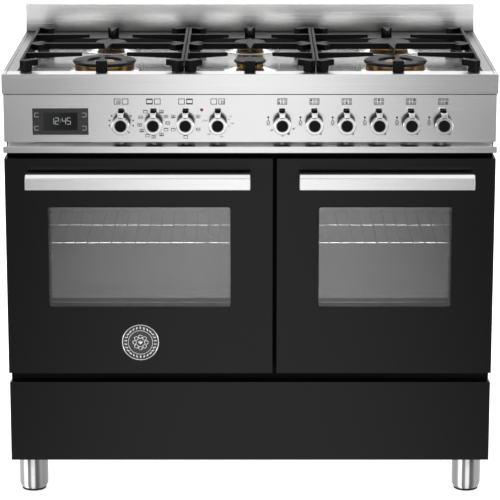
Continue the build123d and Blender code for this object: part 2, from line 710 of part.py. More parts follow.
# Fan of the left oven with its slotted cover and its motor behind the cavity
def build_fan():
    x0, x1 = cavity_limits("left")
    x, z = fan_centre()
    cover_y = CAVITY_BACK_Y - FAN_COVER_DEPTH
    fan_y = CAVITY_BACK_Y - FAN_WALL_GAP
    motor_y = CAVITY_BACK_Y + SHEET
    with BuildPart() as cover:
        with BuildSketch(front(cover_y)):
            z0 = CAVITY_BOTTOM + FAN_COVER_BOTTOM
            rect(x0 + FAN_COVER_SIDE, x1 - FAN_COVER_SIDE, z0, CAVITY_TOP - FAN_COVER_TOP)
        extrude(amount=-FAN_COVER_DEPTH)
        hollow(cover.faces().sort_by(Axis.Y)[-1])
        with BuildSketch(front(cover_y)):
            with Locations((x, z)):
                with PolarLocations(FAN_SLOT_RADIUS, FAN_SLOTS):
                    Rectangle(FAN_SLOT_LENGTH, FAN_SLOT_WIDTH)
        extrude(amount=-SHEET, mode=Mode.SUBTRACT)
    save(cover, "fan_cover")
    with BuildPart() as rotor:
        with BuildSketch(front(fan_y)):
            octagon(x, z, FAN_HUB_RADIUS)
            with Locations((x, z)):
                with PolarLocations((FAN_HUB_RADIUS + FAN_RADIUS) / 2, FAN_BLADES):
                    Rectangle(FAN_RADIUS - FAN_HUB_RADIUS + FAN_BLADE, FAN_BLADE)
        extrude(amount=FAN_DEPTH)
        with BuildSketch(front(fan_y)):
            disc(x, z, FAN_SHAFT_RADIUS)
        extrude(amount=-(motor_y + MOTOR_BORE_DEPTH - FAN_WALL_GAP - fan_y))
    save(rotor, "fan_rotor")
    with BuildPart() as motor:
        with BuildSketch(front(motor_y)):
            rect(x - MOTOR_HALF, x + MOTOR_HALF, z - MOTOR_HALF, z + MOTOR_HALF)
        extrude(amount=-MOTOR_LENGTH)
        with BuildSketch(front(motor_y)):
            disc(x, z, FAN_SHAFT_RADIUS + PIN_CLEARANCE)
        extrude(amount=-MOTOR_BORE_DEPTH, mode=Mode.SUBTRACT)
    save(motor, "fan_motor")


# Storage flap with end bearings, its pivot lugs and the compartment behind it
def build_storage():
    notch = FLAP_LUG_WIDTH / 2 + FLAP_LUG_CLEAR
    back_y = FRONT_Y + FLAP_THICKNESS
    with BuildPart() as flap:
        with BuildSketch(front(FRONT_Y)):
            rect(-FRONT_X, FRONT_X, FLAP_BOTTOM, FLAP_TOP)
        extrude(amount=-FLAP_THICKNESS)
        hollow(flap.faces().sort_by(Axis.Y)[-1])
        for end in (-1, 1):
            lug_x = end * FLAP_LUG_X
            with BuildSketch(side(lug_x + end * notch)):
                top = FLAP_AXIS_Z + FLAP_BLOCK_WALL
                rect(FRONT_Y + SHEET, back_y, FLAP_BOTTOM + SHEET, top)
                octagon(FLAP_AXIS_Y, FLAP_AXIS_Z, FLAP_PIN_RADIUS + PIN_CLEARANCE, mode=Mode.SUBTRACT)
            extrude(amount=end * (FRONT_X - SHEET - FLAP_LUG_X - notch))
            with BuildSketch(level(FLAP_BOTTOM)):
                rect(lug_x - notch, lug_x + notch, FRONT_Y + SHEET, back_y)
            extrude(amount=SHEET, mode=Mode.SUBTRACT)
    save(flap, "flap_panel")
    with BuildPart() as lugs:
        for end in (-1, 1):
            lug_x = end * FLAP_LUG_X
            with BuildSketch(side(lug_x - FLAP_LUG_WIDTH / 2)):
                half = FLAP_LUG_HALF
                rect(FLAP_AXIS_Y - half, FRAME_Y, FLAP_AXIS_Z - half, FLAP_AXIS_Z + half)
            extrude(amount=FLAP_LUG_WIDTH)
            with BuildSketch(side(lug_x + end * FLAP_LUG_WIDTH / 2)):
                disc(FLAP_AXIS_Y, FLAP_AXIS_Z, FLAP_PIN_RADIUS)
            extrude(amount=end * (FRONT_X - SHEET - CLEARANCE - FLAP_LUG_X - FLAP_LUG_WIDTH / 2))
    save(lugs, "flap_pivots")
    with BuildPart() as tray:
        with BuildSketch(front(FRAME_BACK_Y)):
            rect(-TRAY_X - SHEET, TRAY_X + SHEET, TRAY_BOTTOM - SHEET, TRAY_TOP + SHEET)
        extrude(amount=-(CASING_BACK_Y - TRAY_BACK_SPACE - FRAME_BACK_Y))
        hollow(tray.faces().sort_by(Axis.Y)[0])
    save(tray, "storage_tray")


# Round legs on rubber pads
def build_legs():
    places = []
    for x in (-HALF_WIDTH + LEG_SIDE, HALF_WIDTH - LEG_SIDE):
        for y in (FRONT_Y + LEG_FRONT, BACK_Y - LEG_BACK):
            places.append((x, y))
    with BuildPart() as legs:
        with BuildSketch(level(PAD_HEIGHT)):
            for place in places:
                disc(*place, LEG_RADIUS)
        extrude(amount=LEG_HEIGHT - PAD_HEIGHT)
    save(legs, "legs")
    with BuildPart() as pads:
        with BuildSketch(level(0)):
            for place in places:
                many_sided(*place, PAD_RADIUS)
        extrude(amount=PAD_HEIGHT)
    save(pads, "leg_pads")


# Burner cups, brass heads, enamelled caps and spark plugs
def build_burners():
    with BuildPart() as cups:
        with BuildSketch(level(WELL_FLOOR)):
            for burner in BURNERS:
                many_sided(*burner_place(burner), CUP_RADII[burner[2]])
        extrude(amount=CUP_HEIGHT)
        with BuildSketch(level(WELL_FLOOR)):
            for burner in BURNERS:
                octagon(*burner_place(burner), THROAT_RADIUS)
        extrude(amount=-THROAT_DEPTH)
    save(cups, "burner_cups")
    with BuildPart() as heads:
        with BuildSketch(level(HEAD_BOTTOM)):
            for burner in BURNERS:
                many_sided(*burner_place(burner), HEAD_RADII[burner[2]])
        extrude(amount=HEAD_HEIGHT)
        with BuildSketch(level(CAP_BOTTOM)):
            for burner in BURNERS:
                if burner[2] == "wok":
                    many_sided(*burner_place(burner), WOK_INNER_RADIUS)
        extrude(amount=WOK_INNER_RISE)
    save(heads, "burner_heads")
    with BuildPart() as caps:
        with BuildSketch(level(CAP_BOTTOM)):
            for burner in BURNERS:
                many_sided(*burner_place(burner), CAP_RADII[burner[2]])
                if burner[2] == "wok":
                    many_sided(*burner_place(burner), WOK_CAP_HOLE, mode=Mode.SUBTRACT)
        extrude(amount=CAP_HEIGHT)
    save(caps, "burner_caps")
    with BuildPart() as sparks:
        with BuildSketch(level(WELL_FLOOR)):
            for burner in BURNERS:
                x, y = burner_place(burner)
                inward = 1 if burner[0] <= 0 else -1
                octagon(x + inward * (CUP_RADII[burner[2]] + SPARK_EDGE), y, SPARK_RADIUS)
        extrude(amount=SPARK_HEIGHT)
    save(sparks, "spark_plugs")


# One cast pan support over a front and a rear burner
def build_grate(name, centre_x, width):
    bar_z = GRATE_TOP - BAR_HEIGHT
    rail = width / 2 - RAIL_WIDTH / 2
    end = GRATE_LENGTH / 2
    diagonal = STUB_WIDTH / 2 / 2**0.5
    corner_x = width / 2 - diagonal
    corner_y = end - diagonal
    stub_reach = STUB_LENGTH / 2 / 2**0.5
    mid_reach = MID_STUB_LENGTH / 2 / 2**0.5
    tie_y = end - TIE_SETBACK
    tie_z = WELL_FLOOR + TIE_CLEAR
    row = BURNER_ROW_PITCH / 2
    quarters = [(sx, sy) for sx in (-1, 1) for sy in (-1, 1)]
    with BuildPart() as grate:
        with BuildSketch(Plane((centre_x, HOB_Y, bar_z))):
            for sx in (-1, 1):
                rect(sx * rail - RAIL_WIDTH / 2, sx * rail + RAIL_WIDTH / 2, -corner_y, corner_y)
            rect(-rail, rail, -BAR_WIDTH / 2, BAR_WIDTH / 2)
            for sx, sy in quarters:
                rect(min(sx * rail, sx * FINGER_CLEAR), max(sx * rail, sx * FINGER_CLEAR),
                     sy * row - BAR_WIDTH / 2, sy * row + BAR_WIDTH / 2)
                turn = 45 * sx * sy
                with Locations(Location((sx * (corner_x - stub_reach), sy * (corner_y - stub_reach)), turn)):
                    Rectangle(STUB_LENGTH, STUB_WIDTH)
                with Locations(Location((sx * (corner_x - mid_reach), sy * mid_reach), -turn)):
                    Rectangle(MID_STUB_LENGTH, STUB_WIDTH)
            for sy in (-1, 1):
                rect(-FOOT_WIDTH / 2, FOOT_WIDTH / 2, min(sy * end, sy * (end - FOOT_DEPTH)),
                     max(sy * end, sy * (end - FOOT_DEPTH)))
        extrude(amount=BAR_HEIGHT)
        with BuildSketch(Plane((centre_x, HOB_Y, GRATE_TOP - SPUR_HEIGHT))):
            with BuildLine():
                Polyline(
                    (-DIAMOND_HALF_WIDTH, 0),
                    (0, -DIAMOND_HALF_LENGTH),
                    (DIAMOND_HALF_WIDTH, 0),
                    (0, DIAMOND_HALF_LENGTH),
                    close=True,
                )
            make_face()
            for sy in (-1, 1):
                with BuildLine():
                    Polyline(
                        (-SPUR_ROOT / 2, sy * (end - FOOT_DEPTH / 2)),
                        (SPUR_ROOT / 2, sy * (end - FOOT_DEPTH / 2)),
                        (SPUR_TIP / 2, sy * (end - SPUR_LENGTH)),
                        (-SPUR_TIP / 2, sy * (end - SPUR_LENGTH)),
                        close=True,
                    )
                make_face()
        extrude(amount=SPUR_HEIGHT)
        with BuildSketch(Plane((centre_x, HOB_Y, FLAT_TOP))):
            for sy in (-1, 1):
                rect(-FOOT_WIDTH / 2, FOOT_WIDTH / 2, min(sy * end, sy * (end - FOOT_DEPTH)),
                     max(sy * end, sy * (end - FOOT_DEPTH)))
            for sx, sy in quarters:
                back = STUB_FOOT / 2 / 2**0.5
                with Locations(Location((sx * (corner_x - back), sy * (corner_y - back)), 45 * sx * sy)):
                    Rectangle(STUB_FOOT, STUB_WIDTH)
        extrude(amount=bar_z - FLAT_TOP)
        with BuildSketch(Plane((centre_x, HOB_Y, tie_z))):
            for sy in (-1, 1):
                rect(-rail - RAIL_WIDTH / 2 + TIE_CLEAR, rail + RAIL_WIDTH / 2 - TIE_CLEAR,
                     sy * tie_y - TIE_WIDTH / 2, sy * tie_y + TIE_WIDTH / 2)
        extrude(amount=TIE_HEIGHT)
        with BuildSketch(Plane((centre_x, HOB_Y, tie_z))):
            for sy in (-1, 1):
                for x in (-rail, 0, rail):
                    rect(x - TIE_LEG_WIDTH / 2, x + TIE_LEG_WIDTH / 2,
                         sy * tie_y - TIE_WIDTH / 2, sy * tie_y + TIE_WIDTH / 2)
        extrude(amount=GRATE_TOP - SPUR_HEIGHT - tie_z)
        for sx in (-1, 1):
            for sy in (-1, 1):
                with BuildSketch(front(HOB_Y + sy * row + BAR_WIDTH)):
                    with BuildLine():
                        Polyline(
                            (centre_x + sx * (rail - BAR_WIDTH), bar_z),
                            (centre_x + sx * FINGER_CLEAR, GRATE_TOP - FINGER_TIP_HEIGHT),
                            (centre_x + sx * FINGER_CLEAR, bar_z),
                            close=True,
                        )
                    make_face()
                extrude(amount=2 * BAR_WIDTH, mode=Mode.SUBTRACT)
    save(grate, name)


def stem_outline(x, gap=0):
    """Draw a flat-sided tap stem in the open sketch, with a gap round it for its socket."""
    wide = STEM_WIDTH / 2 + gap
    tall = STEM_FLAT / 2 + gap
    rect(x - wide, x + wide, KNOB_Z - tall, KNOB_Z + tall)


# Knob with a lever on top; a gas knob slides on its stem, an oven knob carries its own
def build_knob(name, x, slides):
    with BuildPart() as knob:
        with BuildSketch(front(KNOB_BACK_Y)):
            disc(x, KNOB_Z, KNOB_RADIUS)
            rect(x - LEVER_WIDTH / 2, x + LEVER_WIDTH / 2, KNOB_Z, KNOB_Z + LEVER_RADIUS)
        extrude(amount=KNOB_LENGTH)
        if slides:
            with BuildSketch(front(KNOB_BACK_Y)):
                stem_outline(x, PIN_CLEARANCE)
            extrude(amount=STEM_IN_KNOB + STEM_BORE_SPARE, mode=Mode.SUBTRACT)
        else:
            with BuildSketch(front(KNOB_BACK_Y)):
                stem_outline(x)
            extrude(amount=-(STEM_BACK_Y - KNOB_BACK_Y))
    save(knob, name)


# Blocks behind the fascia with a bore for each stem
def build_stem_blocks(name, xs, width, height, depth):
    body_y = PANEL_Y + SHEET
    bore = ((STEM_WIDTH / 2) ** 2 + (STEM_FLAT / 2) ** 2) ** 0.5 + PIN_CLEARANCE
    with BuildPart() as blocks:
        with BuildSketch(front(body_y)):
            for x in xs:
                rect(x - width / 2, x + width / 2, KNOB_Z - height / 2, KNOB_Z + height / 2)
        extrude(amount=-depth)
        with BuildSketch(front(body_y)):
            for x in xs:
                octagon(x, KNOB_Z, bore)
        extrude(amount=-(STEM_BACK_Y - body_y + CLEARANCE), mode=Mode.SUBTRACT)
    save(blocks, name)


# Ten knobs, the turning stems of the gas taps, the taps and the oven switches
def build_controls():
    for i, x in enumerate(OVEN_KNOB_XS):
        build_knob(f"oven_knob_{i + 1}", x, False)
    for i, x in enumerate(GAS_KNOB_XS):
        build_knob(f"gas_knob_{i + 1}", x, True)
        with BuildPart() as stem:
            with BuildSketch(front(KNOB_BACK_Y - STEM_IN_KNOB)):
                stem_outline(x)
            extrude(amount=-(STEM_BACK_Y - KNOB_BACK_Y + STEM_IN_KNOB))
        save(stem, f"gas_stem_{i + 1}")
    build_stem_blocks("gas_valves", GAS_KNOB_XS, VALVE_WIDTH, VALVE_HEIGHT, VALVE_DEPTH)
    build_stem_blocks("oven_switches", OVEN_KNOB_XS, SWITCH_WIDTH, SWITCH_HEIGHT, SWITCH_DEPTH)


# Clock with its glass front and the red oven lamp
def build_indicators():
    inset = CLOCK_BODY_INSET
    with BuildPart() as clock:
        with BuildSketch(front(PANEL_Y)):
            rect(CLOCK_X0, CLOCK_X1, CLOCK_Z0, CLOCK_Z1)
        extrude(amount=CLOCK_PROUD)
        with BuildSketch(front(PANEL_Y)):
            rect(CLOCK_X0 + inset, CLOCK_X1 - inset, CLOCK_Z0 + inset, CLOCK_Z1 - inset)
        extrude(amount=-CLOCK_DEPTH)
    save(clock, "clock_module")
    with BuildPart() as lamp:
        with BuildSketch(front(PANEL_Y)):
            octagon(LAMP_X, LAMP_Z, LAMP_RADIUS)
        extrude(amount=LAMP_PROUD)
        with BuildSketch(front(PANEL_Y)):
            half = LAMP_BODY / 2
            rect(LAMP_X - half, LAMP_X + half, LAMP_Z - half, LAMP_Z + half)
        extrude(amount=-LAMP_LENGTH)
    save(lamp, "indicator_lamp")


# Gas rail behind the taps with its inlet run to the back, and one pipe to each burner
def build_gas_supply():
    with BuildPart() as rail:
        with BuildSketch(front(VALVE_BACK_Y)):
            half = RAIL_SIZE / 2
            rect(GAS_KNOB_XS[0] - RAIL_END, INLET_X + half, KNOB_Z - half, KNOB_Z + half)
        extrude(amount=-RAIL_SIZE)
        with BuildSketch(front(VALVE_BACK_Y + RAIL_SIZE)):
            octagon(INLET_X, KNOB_Z, SUPPLY_RADIUS)
        extrude(amount=-(BACK_Y - INLET_LENGTH - VALVE_BACK_Y - RAIL_SIZE))
        with BuildSketch(front(BACK_Y - INLET_LENGTH)):
            disc(INLET_X, KNOB_Z, INLET_RADIUS)
        extrude(amount=-INLET_LENGTH)
    save(rail, "gas_rail")
    pipe_y = VALVE_BACK_Y - PIPE_SETBACK
    cup_bottom = WELL_FLOOR - THROAT_DEPTH
    with BuildPart() as pipes:
        for i, burner in enumerate(BURNERS):
            x, y = burner_place(burner)
            z = VALVE_TOP + PIPE_FIRST_RISE + PIPE_LEVEL_PITCH * i
            with BuildLine() as route:
                Polyline(
                    (GAS_KNOB_XS[i], pipe_y, VALVE_TOP),
                    (GAS_KNOB_XS[i], pipe_y, z),
                    (x, y, z),
                    (x, y, cup_bottom),
                )
            with BuildSketch(level(VALVE_TOP)):
                octagon(GAS_KNOB_XS[i], pipe_y, PIPE_RADIUS)
            sweep(path=route.line, transition=Transition.RIGHT)
    save(pipes, "burner_pipes")


os.makedirs("parts", exist_ok=True)
build_worktop()
build_backsplash()
build_control_panel()
build_vent_trim()
build_casing()
build_front_frame()
for door in DOORS:
    build_door(door)
build_ovens()
build_fan()
build_storage()
build_legs()
build_burners()
build_grate("grate_left", -BURNER_PITCH, GRATE_OUTER_WIDTH)
build_grate("grate_centre", 0, GRATE_CENTRE_WIDTH)
build_grate("grate_right", BURNER_PITCH, GRATE_OUTER_WIDTH)
build_controls()
build_indicators()
build_gas_supply()
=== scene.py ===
import json
import math

import bpy
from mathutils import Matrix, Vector

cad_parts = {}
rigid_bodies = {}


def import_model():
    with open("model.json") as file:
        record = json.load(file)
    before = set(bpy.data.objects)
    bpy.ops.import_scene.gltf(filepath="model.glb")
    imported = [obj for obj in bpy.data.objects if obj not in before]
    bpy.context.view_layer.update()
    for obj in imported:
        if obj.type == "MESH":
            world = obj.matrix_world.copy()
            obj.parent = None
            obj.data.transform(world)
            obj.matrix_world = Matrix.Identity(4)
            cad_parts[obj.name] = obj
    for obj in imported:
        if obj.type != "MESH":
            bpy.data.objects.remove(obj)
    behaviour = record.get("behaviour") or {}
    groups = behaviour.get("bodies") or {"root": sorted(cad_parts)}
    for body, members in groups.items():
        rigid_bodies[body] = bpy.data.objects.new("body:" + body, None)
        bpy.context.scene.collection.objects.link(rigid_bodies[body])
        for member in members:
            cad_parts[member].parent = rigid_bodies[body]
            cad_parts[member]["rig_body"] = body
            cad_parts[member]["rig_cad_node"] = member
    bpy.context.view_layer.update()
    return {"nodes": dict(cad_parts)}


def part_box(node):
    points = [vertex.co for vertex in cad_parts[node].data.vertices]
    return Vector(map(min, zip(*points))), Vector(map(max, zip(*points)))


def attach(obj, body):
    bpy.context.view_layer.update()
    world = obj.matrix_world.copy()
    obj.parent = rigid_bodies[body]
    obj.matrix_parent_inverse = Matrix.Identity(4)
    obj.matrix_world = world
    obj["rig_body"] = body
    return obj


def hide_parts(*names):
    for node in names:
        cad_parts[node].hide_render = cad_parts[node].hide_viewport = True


bl_info = {
    "name": "Range Cooker",
    "version": (1, 0, 0),
    "blender": (4, 5, 0),
    "location": "View3D > Sidebar > Cooker",
    "description": "Dresses a range cooker with rounded sheet, burners, knobs, fascia marks and a studio",
    "category": "Object",
}

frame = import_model()
MM = 0.001
UP = (0, 0, 1)
BACK = (0, 1, 0)
FRONT_TURN = (math.pi / 2, 0, 0)

# Places and sizes that several pieces share, in metres
FASCIA_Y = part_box("control_panel")[0].y
KNOB_Z = 789 * MM
KNOB_PITCH = 65 * MM
KNOB_GAP = 5 * MM
KNOB_RADIUS = 18 * MM
PRINT_GAP = 0.15 * MM
PRINT_DEPTH = 0.1 * MM
PICTOGRAM_UP = 44 * MM
WELL_FRONT_Y = -222 * MM
WELL_MIDDLE_Y = -122 * MM
LEG_RADIUS = 30 * MM
LEG_X = 455 * MM
LEG_MID_Y = 27.5 * MM
LEG_HALF_Y = 242.5 * MM

# Burner places, seen from the front, and the radius of each kind's cup, brass head and cap
BURNER_COLUMN = 300 * MM
BURNER_ROW = 126 * MM
BURNERS = (
    (-BURNER_COLUMN, -BURNER_ROW, "wok"),
    (-BURNER_COLUMN, BURNER_ROW, "small"),
    (0, -BURNER_ROW, "small"),
    (0, BURNER_ROW, "small"),
    (BURNER_COLUMN, BURNER_ROW, "medium"),
    (BURNER_COLUMN, -BURNER_ROW, "wok"),
)
CUP_RADIUS = {"small": 55 * MM, "medium": 66 * MM, "wok": 72 * MM}
HEAD_RADIUS = {"small": 30 * MM, "medium": 43 * MM, "wok": 63 * MM}
CAP_RADIUS = {"small": 33.5 * MM, "medium": 46.5 * MM, "wok": 65.5 * MM}
WOK_HOLE = 35.5 * MM
WOK_INNER = 21.5 * MM
CUP_HEIGHT = 6 * MM
HEAD_SEAT = 1.2 * MM


def linear(text):
    """An sRGB hex colour as linear red, green, blue and alpha."""
    values = []
    for i in (1, 3, 5):
        share = int(text[i:i + 2], 16) / 255
        values.append(share / 12.92 if share <= 0.04045 else ((share + 0.055) / 1.055) ** 2.4)
    return (*values, 1.0)


LENGTH = {"subtype": "DISTANCE", "unit": "LENGTH"}
COLOUR = {"subtype": "COLOR", "size": 4}


# The sizes and colours that a user may change
class CookerSizes(bpy.types.PropertyGroup):
    sheet_edge: bpy.props.FloatProperty(
        name="Sheet edge", description="Rounding of folded steel sheet",
        default=1.0 * MM, **LENGTH)
    rim_fall: bpy.props.FloatProperty(
        name="Rim fall", description="Fall of the worktop's front border towards its edge",
        default=3.4 * MM, **LENGTH)
    trim_lift: bpy.props.FloatProperty(
        name="Trim lift", description="Lift of the trim, which opens the dark gap above the doors",
        default=5.0 * MM, **LENGTH)
    # A painted shadow line: the height of a dark strip under the worktop's edge
    seam: bpy.props.FloatProperty(
        name="Seam", description="Height of the dark seal between the worktop and the fascia",
        default=3.2 * MM, **LENGTH)
    handle_crest: bpy.props.FloatProperty(
        name="Handle crest", description="Rise of the sloped top of a door handle",
        default=6.0 * MM, **LENGTH)
    grate_lift: bpy.props.FloatProperty(
        name="Grate lift", description="Extra height of the pan supports over the drawn ones",
        default=7.0 * MM, **LENGTH)
    burner_lift: bpy.props.FloatProperty(
        name="Burner lift", description="Extra height of the brass heads over the drawn ones",
        default=3.5 * MM, **LENGTH)
    cast_edge: bpy.props.FloatProperty(
        name="Cast edge", description="Rounding of the cast pan supports",
        default=1.4 * MM, **LENGTH)
    knob_edge: bpy.props.FloatProperty(
        name="Knob edge", description="Rounding of the turned knobs",
        default=0.8 * MM, **LENGTH)
    knob_cap: bpy.props.FloatProperty(
        name="Knob cap", description="Radius of the black cap in a knob",
        default=11.5 * MM, **LENGTH)
    knob_face: bpy.props.FloatProperty(
        name="Knob face", description="Depth of the steel face on a knob's black body",
        default=5.0 * MM, **LENGTH)
    knob_lever: bpy.props.FloatProperty(
        name="Knob lever", description="Depth of the steel part of a knob's lever",
        default=23.0 * MM, **LENGTH)
    flame_slots: bpy.props.IntProperty(
        name="Flame slots", description="Slots round a small brass head", default=24, min=6)
    rack_wire: bpy.props.FloatProperty(
        name="Rack wire", description="Radius of the oven rack's wires",
        default=1.6 * MM, **LENGTH)
    mark_line: bpy.props.FloatProperty(
        name="Mark line", description="Line width of the printed marks",
        default=1.25 * MM, **LENGTH)


class CookerColours(bpy.types.PropertyGroup):
    steel: bpy.props.FloatVectorProperty(
        name="Steel", description="Brushed steel", default=linear("#CACACA"), **COLOUR)
    enamel: bpy.props.FloatVectorProperty(
        name="Enamel", description="Black door enamel", default=linear("#070707"), **COLOUR)
    oven: bpy.props.FloatVectorProperty(
        name="Oven", description="Grey oven enamel", default=linear("#2C2C2E"), **COLOUR)
    iron: bpy.props.FloatVectorProperty(
        name="Cast iron", description="Enamelled cast iron", default=linear("#080808"), **COLOUR)
    brass: bpy.props.FloatVectorProperty(
        name="Brass", description="Burner brass", default=linear("#8E7048"), **COLOUR)
    lamp: bpy.props.FloatVectorProperty(
        name="Lamp", description="Red lamp lens", default=linear("#8E0E0A"), **COLOUR)
    marks: bpy.props.FloatVectorProperty(
        name="Marks", description="Printed marks", default=linear("#2B2B2B"), **COLOUR)


def sizes():
    return bpy.context.scene.cooker_sizes


def colours():
    return bpy.context.scene.cooker_colours


def shaded(colour, share):
    """A linear colour made lighter or darker by a share."""
    return [min(1, share * value) for value in colour[:3]] + [1]


def add_node(tree, kind, inputs=None, **settings):
    """Add a node with its settings; what feeds it is a node's first output, a socket or a plain value."""
    made = tree.nodes.new(kind)
    for key, value in settings.items():
        setattr(made, key, value)
    for key, value in (inputs or {}).items():
        if isinstance(value, bpy.types.Node):
            value = value.outputs[0]
        if isinstance(value, bpy.types.NodeSocket):
            tree.links.new(value, made.inputs[key])
        else:
            made.inputs[key].default_value = value
    return made


def new_material(name):
    """An empty material and its node tree, with Object coordinates to draw patterns on."""
    material = bpy.data.materials.new(name)
    material.use_nodes = True
    tree = material.node_tree
    tree.nodes.clear()
    return material, tree, add_node(tree, "ShaderNodeTexCoord").outputs["Object"]


MATERIALS = {}


def coat(tree, pattern, tint, roughness, spread, strength, depth_mm, sockets):
    """End a material with a surface whose gloss and relief follow a pattern."""
    rough = add_node(tree, "ShaderNodeMapRange", {
        "Value": pattern, "To Min": roughness * (1 - spread), "To Max": roughness * (1 + spread)})
    bump = add_node(tree, "ShaderNodeBump", {
        "Height": pattern, "Strength": strength, "Distance": depth_mm * MM})
    shader = add_node(tree, "ShaderNodeBsdfPrincipled", {
        "Base Color": tint, "Roughness": rough, "Normal": bump, **sockets})
    add_node(tree, "ShaderNodeOutputMaterial", {"Surface": shader})


# Stainless steel sheet, brushed along its length: long fine streaks that stretch reflections across them.
# A painted shade, given as two heights and a share, darkens the sheet towards the lower height.
def brushed_steel(name, colour, roughness, along, streak_mm=0.8, length_mm=260.0, painted_shade=None):
    material, tree, place = new_material(name)
    scale = [1 / (streak_mm * MM)] * 3
    scale["XYZ".index(along)] = 1 / (length_mm * MM)
    mapping = add_node(tree, "ShaderNodeMapping", {"Vector": place, "Scale": scale})
    streaks = add_node(tree, "ShaderNodeTexNoise", {"Vector": mapping, "Scale": 1.0, "Detail": 3.0})
    tint = add_node(tree, "ShaderNodeMix", {
        0: streaks, 6: shaded(colour, 0.93), 7: shaded(colour, 1.05)}, data_type="RGBA").outputs[2]
    # Painted shade: the colour is scaled down smoothly towards the lower height
    if painted_shade:
        start, end, least = painted_shade
        split = add_node(tree, "ShaderNodeSeparateXYZ", {"Vector": place})
        rise = add_node(tree, "ShaderNodeMapRange", {
            "Value": split.outputs["Z"], "From Min": start, "From Max": end, "To Min": least},
            interpolation_type="SMOOTHSTEP")
        tint = add_node(tree, "ShaderNodeVectorMath", {0: tint, "Scale": rise}, operation="SCALE")
    coat(tree, streaks, tint, roughness, 0.25, 0.05, 0.05, {"Metallic": 1.0})
    return material


# The angles in degrees of the painted reflection bands round a leg, from its front, and how light each band
# is
LEG_REFLECTION_BANDS = (
    (-180, 0.2), (-140, 0.7), (-110, 0.3), (-75, 0.28), (-42, 0.32), (-34, 0.95), (-24, 0.95), (-19, 0.16),
    (-10, 0.18), (-5, 0.66), (6, 0.66), (11, 0.1), (22, 0.09), (32, 0.26), (75, 0.24), (88, 0.12),
    (130, 0.6), (179, 0.2),
)


# Drawn steel tube with painted reflections: light and dark bands round it, by the angle from its front,
# stand in for reflections running down the leg
def painted_reflection_tube(name, roughness):
    material, tree, place = new_material(name)
    split = add_node(tree, "ShaderNodeSeparateXYZ", {"Vector": place})
    x = split.outputs["X"]
    y = add_node(tree, "ShaderNodeMath", {0: split.outputs["Y"], 1: LEG_MID_Y}, operation="SUBTRACT")
    side = add_node(tree, "ShaderNodeMath", {0: x}, operation="SIGN")
    row = add_node(tree, "ShaderNodeMath", {0: y}, operation="SIGN")
    across = add_node(tree, "ShaderNodeMath", {0: side, 1: -LEG_X, 2: x}, operation="MULTIPLY_ADD")
    along = add_node(tree, "ShaderNodeMath", {0: row, 1: -LEG_HALF_Y, 2: y}, operation="MULTIPLY_ADD")
    ahead = add_node(tree, "ShaderNodeMath", {0: along, 1: -1.0}, operation="MULTIPLY")
    angle = add_node(tree, "ShaderNodeMath", {0: across, 1: ahead}, operation="ARCTAN2")
    turn = add_node(tree, "ShaderNodeMapRange", {"Value": angle, "From Min": -math.pi, "From Max": math.pi})
    reflection_bands = add_node(tree, "ShaderNodeValToRGB", {"Fac": turn})
    stops = reflection_bands.color_ramp.elements
    while len(stops) < len(LEG_REFLECTION_BANDS):
        stops.new(0.5)
    for stop, (degrees, level) in zip(stops, LEG_REFLECTION_BANDS):
        stop.position = (degrees + 180) / 360
        stop.color = (level, level, level, 1)
    shader = add_node(tree, "ShaderNodeBsdfPrincipled", {
        "Base Color": reflection_bands, "Metallic": 1.0, "Roughness": roughness})
    add_node(tree, "ShaderNodeOutputMaterial", {"Surface": shader})
    return material


# Fired enamel or paint on sheet: a dark glossy film with a faint orange peel, and pale specks in an oven
def enamel(name, colour, roughness, specular, peel_mm=3.0, speck=0.0, speck_mm=1.6):
    material, tree, place = new_material(name)
    peel = add_node(tree, "ShaderNodeTexNoise", {
        "Vector": place, "Scale": 1 / (peel_mm * MM), "Detail": 2.0})
    share = peel
    second = shaded(colour, 1.25)
    if speck:
        dots = add_node(tree, "ShaderNodeTexVoronoi", {"Vector": place, "Scale": 1 / (speck_mm * MM)})
        share = add_node(tree, "ShaderNodeMapRange", {
            "Value": dots, "From Min": 0.12, "From Max": 0.3, "To Min": speck, "To Max": 0.0})
        second = linear("#B8B8B8")
    tint = add_node(tree, "ShaderNodeMix", {0: share, 6: colour, 7: second}, data_type="RGBA").outputs[2]
    coat(tree, peel, tint, roughness, 0.15, 0.03, 0.05, {"Specular IOR Level": specular})
    return material


# Cast metal or moulded plastic: a fine grain that breaks the gloss up
def grained(name, colour, roughness, specular, metallic=0.0, grain_mm=1.2, depth=0.25):
    material, tree, place = new_material(name)
    grain = add_node(tree, "ShaderNodeTexNoise", {
        "Vector": place, "Scale": 1 / (grain_mm * MM), "Detail": 4.0})
    tint = add_node(tree, "ShaderNodeMix", {
        0: grain, 6: shaded(colour, 0.7), 7: shaded(colour, 1.25)}, data_type="RGBA").outputs[2]
    coat(tree, grain, tint, roughness, 0.2, depth, 0.1, {
        "Metallic": metallic, "Specular IOR Level": specular})
    return material


# Oven glass: a faintly hazed pane, which mirrors more the higher its index is
def oven_glass(name, colour, ior):
    material, tree, place = new_material(name)
    haze = add_node(tree, "ShaderNodeTexNoise", {"Vector": place, "Scale": 1 / (40 * MM), "Detail": 2.0})
    rough = add_node(tree, "ShaderNodeMapRange", {"Value": haze, "To Min": 0.01, "To Max": 0.05})
    shader = add_node(tree, "ShaderNodeBsdfPrincipled", {
        "Roughness": rough, "Base Color": colour, "Transmission Weight": 1.0, "IOR": ior})
    add_node(tree, "ShaderNodeOutputMaterial", {"Surface": shader})
    return material


# Lit figures of a clock: an even cool light that shows bright on the dark screen
def lit(name, colour, strength):
    material, tree, place = new_material(name)
    glow = add_node(tree, "ShaderNodeEmission", {"Strength": strength, "Color": colour})
    add_node(tree, "ShaderNodeOutputMaterial", {"Surface": glow})
    return material


